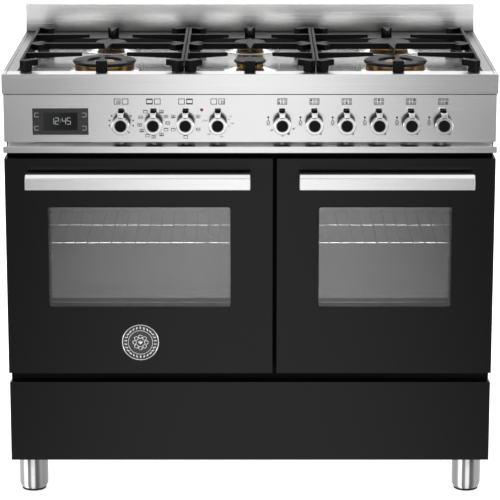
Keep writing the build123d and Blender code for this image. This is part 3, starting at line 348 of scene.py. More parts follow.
def make_materials():
    """Make every finish, under the short name that the pieces ask for."""
    tones = colours()
    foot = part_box("backsplash")[0].z
    pane = linear("#E9E9E9")
    upstand_painted_shade = (foot, foot + 36 * MM, 0.28)
    MATERIALS.update({
        # Brushed stainless sheet of the fascia, trim and hob: level streaks that still mirror the burners
        "steel": brushed_steel("brushed_stainless", tones.steel, 0.16, "X"),
        "hob": brushed_steel("brushed_hob", tones.steel, 0.14, "X"),
        # Satin borders and the rear wall of the hob's well: broad dull highlights; the rear wall's dark
        # grey is painted shade
        "satin": brushed_steel("satin_border", linear("#C8C8C8"), 0.38, "X"),
        # The side borders, brushed across, in a darker copy of the same steel: the darker colour is painted
        # shade
        "side_satin_painted_shade": brushed_steel("satin_side_border_painted_shade", linear("#8B8B8B"), 0.36, "Y"),
        "painted_shade": brushed_steel("rear_wall_painted_shade", linear("#2E2E2E"), 0.3, "X"),
        # The upstand, with a painted shade that darkens it over the 36 mm next to the hob
        "splash": brushed_steel("brushed_upstand", linear("#D6D6D5"), 0.25, "X", painted_shade=upstand_painted_shade),
        # Polished bar and turned metal: short streaks under a bright gloss
        "handle": brushed_steel("brushed_handle", linear("#D6D6D6"), 0.2, "X", 0.6, 180.0),
        "knob": brushed_steel("turned_knob", linear("#D4D4D4"), 0.13, "Y", 0.6, 40.0),
        # Legs with painted reflections: light and dark bands round each tube
        "leg": painted_reflection_tube("leg_painted_reflections", 0.25),
        # Zinc-coated sheet, plated wire, a heater's sheath and pressed aluminium: coarser, greyer streaks;
        # the rack's long wires are the same metal painted near black, as painted shade
        "zinc": brushed_steel("galvanised_sheet", linear("#A9ABAD"), 0.38, "Z", 6.0, 60.0),
        "wire": brushed_steel("plated_wire", linear("#A6A6A6"), 0.28, "X", 2.0, 60.0),
        "dark_wire_painted_shade": brushed_steel("rack_wires_painted_shade", linear("#141414"), 0.6, "Y", 2.0, 60.0),
        "element": brushed_steel("heating_element", linear("#6B6560"), 0.45, "X", 2.0, 40.0),
        "cup": brushed_steel("pressed_aluminium", linear("#C9C8C6"), 0.22, "Z", 3.0, 30.0),
        # Enamel on the doors, dull paint on hidden sheet, and speckled enamel in the ovens
        "enamel": enamel("black_enamel", tones.enamel, 0.2, 0.18),
        "sheet": enamel("black_sheet", linear("#050505"), 0.6, 0.08),
        "oven": enamel("oven_enamel", tones.oven, 0.3, 0.4, 4.0, 0.2),
        # Smooth glossy films: the clock's face and screen, the lamp's lens and printed ink
        "clock": enamel("clock_glass", linear("#2A2A2A"), 0.12, 0.4),
        "screen": enamel("clock_screen", linear("#0A0A0A"), 0.1, 0.35),
        "lamp": enamel("red_lens", tones.lamp, 0.15, 0.5, 1.0),
        "marks": enamel("printed_marks", tones.marks, 0.5, 0.3),
        # Cast iron, cast brass and a fired cap: a sandy grain, dull on the iron and warm on the brass
        "iron": grained("enamelled_cast_iron", tones.iron, 0.5, 0.1),
        "cap": grained("burner_cap_enamel", linear("#121213"), 0.5, 0.14, grain_mm=1.0, depth=0.15),
        "brass": grained("cast_brass", tones.brass, 0.26, 0.5, 1.0, 1.5, 0.12),
        # Glazed ceramic, moulded plastic and rubber: a faint skin grain, from glossy to matt
        "ceramic": grained("glazed_ceramic", linear("#E6E2D8"), 0.3, 0.5, grain_mm=1.0, depth=0.05),
        "plastic": grained("black_plastic", linear("#151515"), 0.32, 0.5, grain_mm=0.8, depth=0.08),
        "knob_black": grained("matt_black_plastic", linear("#0C0C0C"), 0.6, 0.08, grain_mm=0.8, depth=0.08),
        "rubber": grained("black_rubber", linear("#111111"), 0.75, 0.3, grain_mm=1.0, depth=0.3),
        # A clear outer pane and a coated inner one that mirrors more
        "glass": oven_glass("clear_glass", pane, 1.45),
        "coated": oven_glass("coated_glass", pane, 1.76),
        "digits": lit("lit_digits", linear("#DDE6EA"), 0.55),
    })


# Modelling steps shared by the pieces
def clear_selection():
    if bpy.context.object and bpy.context.object.mode != "OBJECT":
        bpy.ops.object.mode_set(mode="OBJECT")
    bpy.ops.object.select_all(action="DESELECT")


def take(piece):
    """Select one piece alone and make it active."""
    clear_selection()
    piece.select_set(True)
    bpy.context.view_layer.objects.active = piece


def open_mesh(name):
    """A new empty mesh piece, left in edit mode so primitives can be added to it."""
    clear_selection()
    bpy.ops.object.add(type="MESH", location=(0, 0, 0))
    piece = bpy.context.object
    piece.name = name
    bpy.ops.object.mode_set(mode="EDIT")
    return piece


def close_mesh(piece, smooth=30.0):
    """Leave edit mode, with rounded shading below an angle."""
    bpy.ops.mesh.select_all(action="SELECT")
    bpy.ops.mesh.normals_make_consistent(inside=False)
    bpy.ops.object.mode_set(mode="OBJECT")
    take(piece)
    bpy.ops.object.shade_smooth_by_angle(angle=math.radians(smooth))


def settle(piece, name, material, body, replaced=()):
    """Put a finished piece's place into its mesh, give it its finish and join it to its body."""
    take(piece)
    bpy.ops.object.transform_apply(location=True, rotation=True, scale=True)
    piece.name = name
    piece.data.name = name
    piece.data.materials.clear()
    piece.data.materials.append(MATERIALS[material])
    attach(piece, body)
    if replaced:
        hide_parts(*replaced)
    return piece


def round_edges(piece, width, segments=2, angle=40.0):
    """Round the sharp edges of a piece."""
    take(piece)
    bpy.ops.object.shade_smooth()
    bevel = piece.modifiers.new("edges", "BEVEL")
    bevel.width = width
    bevel.segments = segments
    bevel.limit_method = "ANGLE"
    bevel.angle_limit = math.radians(angle)
    bpy.ops.object.modifier_apply(modifier=bevel.name)
    flat = piece.modifiers.new("flat", "WEIGHTED_NORMAL")
    flat.mode = "FACE_AREA"
    flat.weight = 100
    bpy.ops.object.modifier_apply(modifier=flat.name)


def rounded_node(node, width, material, shape=None, angle=40.0):
    """A copy of a CAD node with its facets merged and its edges rounded, standing in its place."""
    source = frame["nodes"][node]
    take(source)
    bpy.ops.object.duplicate()
    piece = bpy.context.object
    del piece["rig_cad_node"]
    bpy.ops.object.parent_clear(type="CLEAR_KEEP_TRANSFORM")
    bpy.ops.object.mode_set(mode="EDIT")
    bpy.ops.mesh.select_all(action="SELECT")
    bpy.ops.mesh.customdata_custom_splitnormals_clear()
    bpy.ops.mesh.remove_doubles(threshold=0.01 * MM)
    bpy.ops.mesh.dissolve_limited(angle_limit=math.radians(0.5))
    if shape:
        shape(piece)
    bpy.ops.object.mode_set(mode="OBJECT")
    round_edges(piece, width, angle=angle)
    return settle(piece, f"{node}_dressed", material, source["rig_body"], (node,))


def move_where(piece, chosen, offset):
    """Move the vertices of an open mesh that a test on their place chooses."""
    bpy.ops.mesh.select_all(action="DESELECT")
    bpy.ops.object.mode_set(mode="OBJECT")
    for vertex in piece.data.vertices:
        vertex.select = chosen(vertex.co)
    bpy.ops.object.mode_set(mode="EDIT")
    bpy.ops.transform.translate(value=offset)


def dress(node, material):
    """Give a CAD node that keeps its shape its finish."""
    mesh = frame["nodes"][node].data
    mesh.materials.clear()
    mesh.materials.append(MATERIALS[material])


def around(centre, degrees, reach):
    """A place on an upright circle round a centre, clockwise from its top."""
    x, y, z = centre
    turn = math.radians(degrees)
    return (x + math.sin(turn) * reach, y, z + math.cos(turn) * reach)


def block(name, middle, size, edge, segments):
    """A small rounded block."""
    piece = open_mesh(name)
    bpy.ops.mesh.primitive_cube_add(size=1, location=middle)
    bpy.ops.transform.resize(value=size, center_override=middle)
    close_mesh(piece)
    round_edges(piece, edge, segments)
    return piece


def bar(x, y, z, wide, tall):
    """A flat upright bar in the open mesh, facing the front."""
    bpy.ops.mesh.primitive_plane_add(size=1, location=(x, y, z), rotation=FRONT_TURN)
    bpy.ops.transform.resize(value=(wide, 1, tall), center_override=(x, y, z))


def box_outline(x, y, z, wide, tall, line):
    """Four bars in the open mesh round an upright rectangle."""
    for end in (-1, 1):
        bar(x, y, z + end * (tall - line) / 2, wide, line)
        bar(x + end * (wide - line) / 2, y, z, line, tall)


def dot(x, y, z, radius, line=0.0, corners=20):
    """A flat upright disc in the open mesh, or a ring of a line's width."""
    bpy.ops.mesh.primitive_circle_add(
        vertices=corners, radius=radius, fill_type="NGON", location=(x, y, z), rotation=FRONT_TURN)
    if line:
        bpy.ops.mesh.inset(thickness=line)
        bpy.ops.mesh.delete(type="FACE")


def close_print(piece, depth):
    """Close a flat printed piece and give it its small thickness, kept behind its front."""
    close_mesh(piece)
    solid = piece.modifiers.new("film", "SOLIDIFY")
    solid.thickness = depth
    solid.offset = -1
    bpy.ops.object.modifier_apply(modifier=solid.name)


def spun(name, profile, centre, axis, steps=64):
    """A turned piece: a profile of radius and height pairs spun round an axis through a centre."""
    piece = open_mesh(name)
    centre = Vector(centre)
    axis = Vector(axis)
    across = Vector((1, 0, 0))
    radius, height = profile[0]
    bpy.ops.mesh.primitive_plane_add(size=1 * MM, location=centre + across * radius + axis * height)
    bpy.ops.mesh.merge(type="CENTER")
    for (r0, h0), (r1, h1) in zip(profile, profile[1:]):
        bpy.ops.mesh.extrude_region_move(
            TRANSFORM_OT_translate={"value": tuple(across * (r1 - r0) + axis * (h1 - h0))})
    bpy.ops.mesh.select_all(action="SELECT")
    bpy.ops.mesh.spin(steps=steps, angle=2 * math.pi, center=tuple(centre), axis=tuple(axis))
    bpy.ops.mesh.select_all(action="SELECT")
    bpy.ops.mesh.remove_doubles(threshold=0.005 * MM)
    close_mesh(piece)
    return piece


def join(pieces, name):
    """Join like pieces into one."""
    clear_selection()
    for piece in pieces:
        piece.select_set(True)
    bpy.context.view_layer.objects.active = pieces[0]
    if len(pieces) > 1:
        bpy.ops.object.join()
    pieces[0].name = name
    return pieces[0]


def copy_to(piece, offset):
    """A copy of a piece with its own mesh, moved by an offset."""
    take(piece)
    bpy.ops.object.duplicate()
    made = bpy.context.object
    bpy.ops.transform.translate(value=offset)
    bpy.ops.object.transform_apply(location=True, rotation=False, scale=False)
    return made


def copies(pattern, offsets):
    """Copies of a pattern at some offsets, which take the pattern's place."""
    made = [copy_to(pattern, offset) for offset in offsets]
    bpy.data.objects.remove(pattern)
    return made


class COOKER_OT_finishes(bpy.types.Operator):
    """Make the finishes and give them to the nodes that keep their shape"""
    bl_idname = "cooker.finishes"
    bl_label = "Finishes"

    def execute(self, context):
        make_materials()
        kept = {
            "zinc": ["rear_panel", "base_pan", "hinge_brackets", "flap_pivots", "fan_motor", "gas_rail"],
            "sheet": ["front_frame", "storage_tray"],
            "oven": ["oven_cavity_left", "oven_cavity_right", "fan_cover", "fan_rotor"],
            "wire": ["shelf_ladders"] + [f"gas_stem_{i}" for i in range(1, 7)],
            "element": ["grill_elements"],
            "coated": ["door_left_glass", "door_right_glass"],
            "brass": ["gas_valves", "burner_pipes"],
            "plastic": ["oven_switches"],
            "rubber": ["oven_seals"],
            "clock": ["clock_module"],
        }
        for material, nodes in kept.items():
            for node in nodes:
                dress(node, material)
        return {"FINISHED"}


# The worktop's material slots, in the order in which they are added
HOB, FRONT_BORDER, REAR_WALL, SIDE_BORDER = range(4)
BORDER_DEPTH = 7 * MM
HANDLE_SLOPE_DEPTH = 9 * MM
HANDLE_UNDERSIDE_LIFT = 1.5 * MM


class COOKER_OT_sheetwork(bpy.types.Operator):
    """Round the edges of the folded sheets, and shape the trim, the handles and the hob's rim"""
    bl_idname = "cooker.sheetwork"
    bl_label = "Sheetwork"

    def execute(self, context):
        edge = sizes().sheet_edge
        self.finish_worktop(rounded_node("worktop", edge * 0.5, "hob", self.slope_rim))
        rounded_node("backsplash", edge, "splash")
        rounded_node("vent_trim", edge, "steel", self.lift_trim)
        rounded_node("control_panel", edge * 0.6, "steel", self.shorten_panel)
        for side in ("left", "right"):
            rounded_node(f"door_{side}_skin", edge * 0.8, "enamel")
            rounded_node(f"door_{side}_liner", edge * 0.4, "sheet")
            rounded_node(f"door_{side}_handle", edge * 0.7, "handle", self.crest_handle, 25.0)
        rounded_node("flap_panel", edge * 0.8, "enamel")
        rounded_node("side_panels", edge * 0.6, "enamel")
        return {"FINISHED"}

    def finish_worktop(self, worktop):
        """Give the hob's borders and the rear wall of its well their own finishes."""
        for material in ("satin", "painted_shade", "side_satin_painted_shade"):
            worktop.data.materials.append(MATERIALS[material])
        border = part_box("worktop")[1].z - BORDER_DEPTH
        for face in worktop.data.polygons:
            # Front borders take satin steel; side borders take its darker painted-shade copy
            if face.normal.z > 0.9 and face.center.z > border:
                face.material_index = FRONT_BORDER if face.center.y < WELL_FRONT_Y else SIDE_BORDER
            # The rear wall of the well takes the dark steel of painted shade
            if face.normal.y < -0.5 and face.center.y > WELL_MIDDLE_Y:
                face.material_index = REAR_WALL

    def lift_trim(self, piece):
        """Raise the trim a little off the doors."""
        move_where(piece, lambda place: True, (0, 0, sizes().trim_lift))

    def shorten_panel(self, piece):
        """Let the fascia end where the raised trim starts."""
        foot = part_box("control_panel")[0].z
        move_where(piece, lambda place: place.z < foot + 3 * MM, (0, 0, sizes().trim_lift))

    def crest_handle(self, piece):
        """Slope the top of a handle's bar up towards the door and raise its underside."""
        low = Vector([min(v.co[i] for v in piece.data.vertices) for i in range(3)])
        high = Vector([max(v.co[i] for v in piece.data.vertices) for i in range(3)])
        back = low.y + HANDLE_SLOPE_DEPTH
        bpy.ops.mesh.select_all(action="SELECT")
        bpy.ops.mesh.bisect(plane_co=(0, back, 0), plane_no=BACK)
        move_where(piece, lambda place: place.z > high.z - 2 * MM and place.y > back - 1 * MM,
                   (0, 0, sizes().handle_crest))
        move_where(piece, lambda place: place.z < low.z + 2 * MM, (0, 0, HANDLE_UNDERSIDE_LIFT))

    def slope_rim(self, piece):
        """Let the border in front of the well fall gently towards the front edge."""
        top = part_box("worktop")[1].z
        bpy.ops.mesh.select_all(action="SELECT")
        bpy.ops.mesh.bisect(plane_co=(0, WELL_FRONT_Y, 0), plane_no=BACK)
        move_where(
            piece, lambda place: place.y < WELL_FRONT_Y - 20 * MM and 0.8 * MM < top - place.z < 1.2 * MM,
            (0, 0, -sizes().rim_fall))


class COOKER_OT_pan_supports(bpy.types.Operator):
    """Soften the cast pan supports and raise their bars on longer feet"""
    bl_idname = "cooker.pan_supports"
    bl_label = "Pan Supports"
    bar_depth = 12.5 * MM

    def execute(self, context):
        for node in ("grate_left", "grate_centre", "grate_right"):
            rounded_node(node, sizes().cast_edge, "iron", self.lift_bars)
        return {"FINISHED"}

    def lift_bars(self, piece):
        """Raise what lies above the feet."""
        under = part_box("grate_left")[1].z - self.bar_depth
        move_where(piece, lambda place: place.z > under, (0, 0, sizes().grate_lift))


class COOKER_OT_burners(bpy.types.Operator):
    """Turn the burner cups, the slotted brass heads, the caps and the igniters"""
    bl_idname = "cooker.burners"
    bl_label = "Burners"

    def execute(self, context):
        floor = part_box("burner_cups")[1].z - CUP_HEIGHT
        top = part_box("burner_caps")[0].z + sizes().burner_lift
        cups = []
        heads = []
        caps = []
        for kind, radius in HEAD_RADIUS.items():
            places = [(x, y, 0) for x, y, size in BURNERS if size == kind]
            slots = round(sizes().flame_slots * radius / HEAD_RADIUS["small"])
            cups += copies(self.cup(kind, floor), places)
            heads += copies(self.slotted_head(radius, floor + HEAD_SEAT, top, slots), places)
            caps += copies(self.cap(kind, top), places)
            if kind == "wok":
                heads += copies(self.slotted_head(WOK_INNER, top, top + 2.4 * MM, 14), places)
                caps += copies(self.dark_well(top), places)
        settle(join(cups, "cups"), "burner_cups_dressed", "cup", "chassis", ("burner_cups",))
        settle(join(heads, "heads"), "burner_heads_dressed", "brass", "chassis", ("burner_heads",))
        settle(join(caps, "caps"), "burner_caps_dressed", "cap", "chassis", ("burner_caps",))
        places = []
        for x, y, kind in BURNERS:
            inward = 1 if x <= 0 else -1
            places.append((x + inward * (CUP_RADIUS[kind] + 5 * MM), y, 0))
        plugs = copies(self.plug(floor), places)
        settle(join(plugs, "plugs"), "spark_plugs_dressed", "ceramic", "chassis",
               ("spark_plugs",))
        return {"FINISHED"}

    def cup(self, kind, floor):
        """A pressed cup that rises to the foot of its head."""
        rim = CUP_RADIUS[kind]
        head = HEAD_RADIUS[kind]
        flare = 1.6 * MM if kind == "wok" else 5.5 * MM
        return spun("cup", [
            (0, 0), (rim - 1 * MM, 0), (rim, 0.5 * MM), (rim - 1 * MM, 1.1 * MM), (rim - 4 * MM, 1.4 * MM),
            ((head + rim) / 2, HEAD_SEAT + flare * 0.35), (head + 4 * MM, HEAD_SEAT + flare * 0.8),
            (head + 1.5 * MM, HEAD_SEAT + flare), (0, HEAD_SEAT + flare)], (0, 0, floor), UP)

    def slotted_head(self, radius, low, high, slots):
        """A brass ring with flame slots cut between its teeth."""
        lip = 1.5 * MM
        tall = high - low
        head = spun("head", [
            (0, 0), (radius - lip, 0), (radius, lip), (radius, tall - lip), (radius - lip, tall),
            (0, tall)], (0, 0, low), UP, slots * 2)
        bpy.ops.object.mode_set(mode="EDIT")
        bpy.ops.mesh.select_all(action="DESELECT")
        bpy.ops.object.mode_set(mode="OBJECT")
        for face in head.data.polygons:
            sector = math.atan2(face.center.y, face.center.x) / math.pi * slots
            face.select = abs(face.normal.z) < 0.2 and math.floor(sector) % 2 == 0
        bpy.ops.object.mode_set(mode="EDIT")
        bpy.ops.mesh.inset(thickness=0.4 * MM)
        bpy.ops.mesh.extrude_region_shrink_fatten(TRANSFORM_OT_shrink_fatten={"value": -2.5 * MM})
        bpy.ops.object.mode_set(mode="OBJECT")
        return head

    def cap(self, kind, top):
        """An enamelled cap with rounded edges, open in the middle over a wok burner."""
        radius = CAP_RADIUS[kind]
        thick = 4.5 * MM
        edge = 1.6 * MM
        rim = [
            (radius - edge, 0), (radius, edge), (radius - 0.4 * MM, thick - edge),
            (radius - edge * 1.5, thick)]
        profile = [(0, 0), *rim, (0, thick)]
        if kind == "wok":
            profile = [(WOK_HOLE, edge), (WOK_HOLE + edge, 0), *rim, (WOK_HOLE + edge, thick),
                       (WOK_HOLE, thick - edge), (WOK_HOLE, edge)]
        return spun("cap", profile, (0, 0, top), UP)

    def dark_well(self, top):
        """The dark floor between a wok burner's inner head and its cap."""
        inside = WOK_INNER + 1 * MM
        outside = WOK_HOLE + 2 * MM
        thick = 0.3 * MM
        return spun("well", [(inside, 0), (outside, 0), (outside, thick), (inside, thick), (inside, 0)],
                    (0, 0, top - 0.1 * MM), UP)

    def plug(self, floor):
        """A ceramic igniter with a thin tip."""
        return spun("plug", [
            (0, 0), (2.0 * MM, 0), (2.0 * MM, 7 * MM), (1.6 * MM, 7.6 * MM), (0.7 * MM, 8 * MM),
            (0.7 * MM, 11.6 * MM), (0, 12 * MM)], (0, 0, floor), UP, 20)


class COOKER_OT_knobs(bpy.types.Operator):
    """Turn the ten knobs with their levers, black caps and stems"""
    bl_idname = "cooker.knobs"
    bl_label = "Knobs"

    def execute(self, context):
        low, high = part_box("oven_knob_1")
        x = (low.x + high.x) / 2
        lever_y = low.y + sizes().knob_lever
        back_y = FASCIA_Y - KNOB_GAP
        steel = join([self.face(x, low.y), self.lever(x, low.y, lever_y)], "knob")
        rear_lever = self.lever(x, lever_y, back_y, 3 * MM)
        black = join([*self.black_body(x, low.y, back_y), rear_lever], "knob_black")
        for count, kind, first in ((4, "oven", -4), (6, "gas", 1)):
            for i in range(count):
                shift = ((first + i) * KNOB_PITCH - x, 0, 0)
                node = f"{kind}_knob_{i + 1}"
                settle(copy_to(steel, shift), f"{node}_dressed", "knob", node, (node,))
                settle(copy_to(black, shift), f"{node}_black", "knob_black", node)
                if kind == "oven":
                    self.add_stem(node, back_y)
        for pattern in (steel, black):
            bpy.data.objects.remove(pattern)
        return {"FINISHED"}

    def face(self, x, front_y):
        """The steel face of a knob, dished for its black cap."""
        cap = sizes().knob_cap
        edge = sizes().knob_edge
        depth = sizes().knob_face
        dish = depth - 0.9 * MM
        return spun("knob", [
            (0, 0), (KNOB_RADIUS - edge, 0), (KNOB_RADIUS, -edge), (KNOB_RADIUS, -depth + edge * 1.5),
            (KNOB_RADIUS - edge * 1.5, -depth), (cap + 1.2 * MM, -depth), (cap + 0.4 * MM, -dish),
            (0, -dish)],
            (x, front_y + depth, KNOB_Z), BACK, 72)

    def black_body(self, x, front_y, back_y):
        """The black cap in a knob's face and the black body behind the face."""
        cap = sizes().knob_cap
        disc = spun("knob_cap", [
            (0, 0), (cap, 0), (cap, -0.5 * MM), (cap - 0.8 * MM, -0.85 * MM), (0, -0.85 * MM)],
            (x, front_y + 0.9 * MM, KNOB_Z), BACK, 56)
        skirt = back_y - front_y - sizes().knob_face
        side = KNOB_RADIUS - 0.3 * MM
        rear = spun("knob_skirt", [
            (0, 0), (side - 0.3 * MM, 0), (side, -0.4 * MM), (side, -skirt), (0, -skirt)],
            (x, back_y, KNOB_Z), BACK, 72)
        return disc, rear

    def lever(self, x, start, end, rise=0.0):
        """The part of a knob's lever between two depths."""
        middle = (x, (start + end) / 2, KNOB_Z + 19.5 * MM + rise / 2)
        return block("lever", middle, (12 * MM, end - start, 11 * MM + rise), 1.0 * MM, 3)

    def add_stem(self, node, start):
        """The stem that carries an oven knob into the fascia."""
        low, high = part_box(node)
        middle = ((low.x + high.x) / 2, (start + high.y) / 2, KNOB_Z)
        stem = block("stem", middle, (8 * MM, high.y - start, 5 * MM), 0.4 * MM, 1)
        settle(stem, f"{node}_stem", "zinc", node)


# The dots round the first and the fourth oven knob: reach, radius, and angles in degrees from the top
DOT_RINGS = {
    0: (24.5 * MM, 1.6 * MM, (-103, -78, -53, 53, 78, 103, 142)),
    3: (23.5 * MM, 1.1 * MM, (-78, -138, 72, 106, 168)),
}
# The angles of the small pictograms round the second and the third oven knob
ICON_RINGS = {
    1: (-155, -123, -98, -66, -35, 35, 62, 90, 118, 146, 180),
    2: (-118, -62, 62, 118, 180),
}
ICON_REACH = 28.5 * MM
# The printed temperatures round the fourth oven knob and their angles
TEMPERATURES = (("50", 62), ("100", 92), ("150", 165), ("200", 218), ("250", 280))
TEMPERATURE_REACH = 29 * MM
# The column and row of the burner that each gas knob serves
GAS_PLACES = ((0, 0), (0, 1), (1, 0), (1, 1), (2, 1), (2, 0))
# The strokes of each clock figure, as places across and up from its middle
STROKES = {
    "1": ((1, 0.5), (1, -0.5)),
    "2": ((0, 1), (1, 0.5), (0, 0), (-1, -0.5), (0, -1)),
    "4": ((-1, 0.5), (0, 0), (1, 0.5), (1, -0.5)),
    "5": ((0, 1), (-1, 0.5), (0, 0), (1, -0.5), (0, -1)),
}


class COOKER_OT_fascia(bpy.types.Operator):
    """Print the marks round the knobs, and make the painted shadow under the worktop's edge, the fascia's
    clock and lamp
    """
    bl_idname = "cooker.fascia"
    bl_label = "Fascia"

    def execute(self, context):
        y = FASCIA_Y - PRINT_GAP
        line = sizes().mark_line
        marks = open_mesh("marks")
        for i in range(4):
            self.oven_marks(i, (i - 4) * KNOB_PITCH, y, line)
        for i in range(6):
            self.gas_marks(i, (i + 1) * KNOB_PITCH, y, line)
        close_print(marks, PRINT_DEPTH)
        settle(marks, "fascia_marks", "marks", "chassis")
        low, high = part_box("control_panel")
        # A thin black strip just under the worktop's edge: a painted shadow line
        painted_shadow = open_mesh("painted_shadow")
        bar(0, y, high.z - sizes().seam / 2, high.x - low.x - 2 * MM, sizes().seam)
        close_print(painted_shadow, PRINT_DEPTH)
        settle(painted_shadow, "fascia_painted_shadow", "rubber", "chassis")
        self.numbers(y)
        self.clock()
        low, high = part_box("indicator_lamp")
        lens = spun("lens", [
            (0, 0), (3.3 * MM, 0), (3.3 * MM, -0.5 * MM), (2.6 * MM, -1.2 * MM), (1.4 * MM, -1.5 * MM),
            (0, -1.6 * MM)], ((low.x + high.x) / 2, FASCIA_Y, (low.z + high.z) / 2), BACK, 32)
        settle(lens, "indicator_lamp_dressed", "lamp", "chassis", ("indicator_lamp",))
        return {"FINISHED"}

    def oven_marks(self, i, x, y, line):
        """Two pictograms over an oven knob and its ring of dots or small pictograms."""
        z = KNOB_Z + PICTOGRAM_UP
        for end in (-1, 1):
            u = x + end * 8 * MM
            box_outline(u, y, z, 13 * MM, 12 * MM, line)
            if (i, end) in ((1, -1), (2, 1)):
                for level in (1, -1):
                    bar(u, y, z + level * 4.5 * MM, 12 * MM, 2.6 * MM)
            if (i, end) in ((0, -1), (3, 1)):
                dot(u + 1.5 * MM, y, z - 1 * MM, 3.2 * MM, line)
        if i in DOT_RINGS:
            reach, radius, angles = DOT_RINGS[i]
            for angle in angles:
                dot(*around((x, y, KNOB_Z), angle, reach), radius)
        for k, angle in enumerate(ICON_RINGS.get(i, ())):
            self.small_icon(around((x, y, KNOB_Z), angle, ICON_REACH), k % 4, line * 0.75)

    def small_icon(self, place, kind, line):
        """A small framed pictogram with a bar, a ring or both."""
        x, y, z = place
        box_outline(x, y, z, 8.6 * MM, 6.6 * MM, line)
        if kind != 2:
            lift = (2.2 * MM, -1.8 * MM, 0, 0)[kind]
            bar(x, y, z + lift, 6.6 * MM, line)
        if kind == 1:
            dot(x, y, z + 0.6 * MM, 1.5 * MM, line)
        if kind == 2:
            dot(x, y, z, 1.9 * MM, line)

    def gas_marks(self, i, x, y, line):
        """A plan of the hob over a gas knob, and the off dot and flames beside it."""
        thin = line * 0.8
        z = KNOB_Z + PICTOGRAM_UP
        box_outline(x, y, z, 20 * MM, 12.8 * MM, thin)
        for u in range(3):
            for v in range(2):
                place = (x + (u - 1) * 6.3 * MM, y, z + (v - 0.5) * 5.6 * MM)
                if (u, v) == GAS_PLACES[i]:
                    dot(*place, 2.1 * MM)
                else:
                    dot(*place, 2.2 * MM, thin)
        dot(x - 28 * MM, y, KNOB_Z + 11.5 * MM, 2.1 * MM)
        self.flame(x - 28 * MM, y, KNOB_Z + 1.5 * MM, 3.6 * MM, line)
        self.flame(x + 13.5 * MM, y, KNOB_Z - 21 * MM, 2.0 * MM, thin)
        if i == 0:
            for angle in (-125, 150, 178, 118):
                u, v, w = around((x, y, KNOB_Z), angle, 26 * MM)
                dot(u, v, w, 2.0 * MM, thin)
                bar(u + 3 * MM, v, w + 2 * MM, 2.2 * MM, thin)

    def flame(self, x, y, z, radius, line):
        """A ringed flame with a short tip over a short bar."""
        dot(x, y, z, radius, line, 16)
        bar(x, y, z + radius * 1.35, line * 1.2, radius * 0.8)
        bar(x, y, z - radius * 1.5, radius * 2.2, line)

    def numbers(self, y):
        """The printed temperatures round the fourth knob."""
        made = []
        for text, angle in TEMPERATURES:
            x, y, z = around((-KNOB_PITCH, y, KNOB_Z), angle, TEMPERATURE_REACH)
            clear_selection()
            bpy.ops.object.text_add(location=(x, y, z - 1.6 * MM), rotation=FRONT_TURN)
            label = bpy.context.object
            label.data.body = text
            label.data.size = 4.6 * MM
            label.data.align_x = "CENTER"
            label.data.extrude = 0.05 * MM
            bpy.ops.object.convert(target="MESH")
            made.append(label)
        settle(join(made, "numbers"), "fascia_numbers", "marks", "chassis")

    def clock(self):
        """The clock's dark screen, its lit figures and the brackets of its four keys."""
        low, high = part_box("clock_module")
        y = low.y - 0.1 * MM
        middle = (low.x + high.x) / 2
        z = (low.z + high.z) / 2
        screen = open_mesh("screen")
        bar(middle, y, z, 70 * MM, 37 * MM)
        bpy.ops.mesh.inset(thickness=0.6 * MM, depth=-0.05 * MM)
        close_print(screen, PRINT_DEPTH)
        settle(screen, "clock_screen", "screen", "chassis")
        digits = open_mesh("digits")
        y -= 0.1 * MM
        for place, text in ((-1.75, "1"), (-0.75, "2"), (0.75, "4"), (1.75, "5")):
            self.digit(middle + place * 9.6 * MM, y, z + 1 * MM, text)
        for end in (-1, 1):
            bar(middle, y, z + 1 * MM + end * 2.4 * MM, 1.2 * MM, 1.2 * MM)
        for side in (-1, 1):
            for level in (-1, 1):
                u = middle + side * 48 * MM
                v = z + level * 13.5 * MM
                for end in (-1, 1):
                    bar(u, y, v + end * 4 * MM, 8 * MM, 0.8 * MM)
                bar(u + side * 4 * MM, y, v, 0.8 * MM, 8 * MM)
        close_print(digits, 0.05 * MM)
        settle(digits, "clock_digits", "digits", "chassis")

    def digit(self, x, y, z, text):
        """One clock figure, drawn in straight strokes."""
        tall = 6.5 * MM
        wide = 3.4 * MM
        line = 1.1 * MM
        for u, v in STROKES[text]:
            if u == 0:
                bar(x, y, z + v * tall, 2 * wide, line)
            else:
                bar(x + u * wide, y, z + v * tall, line, tall)


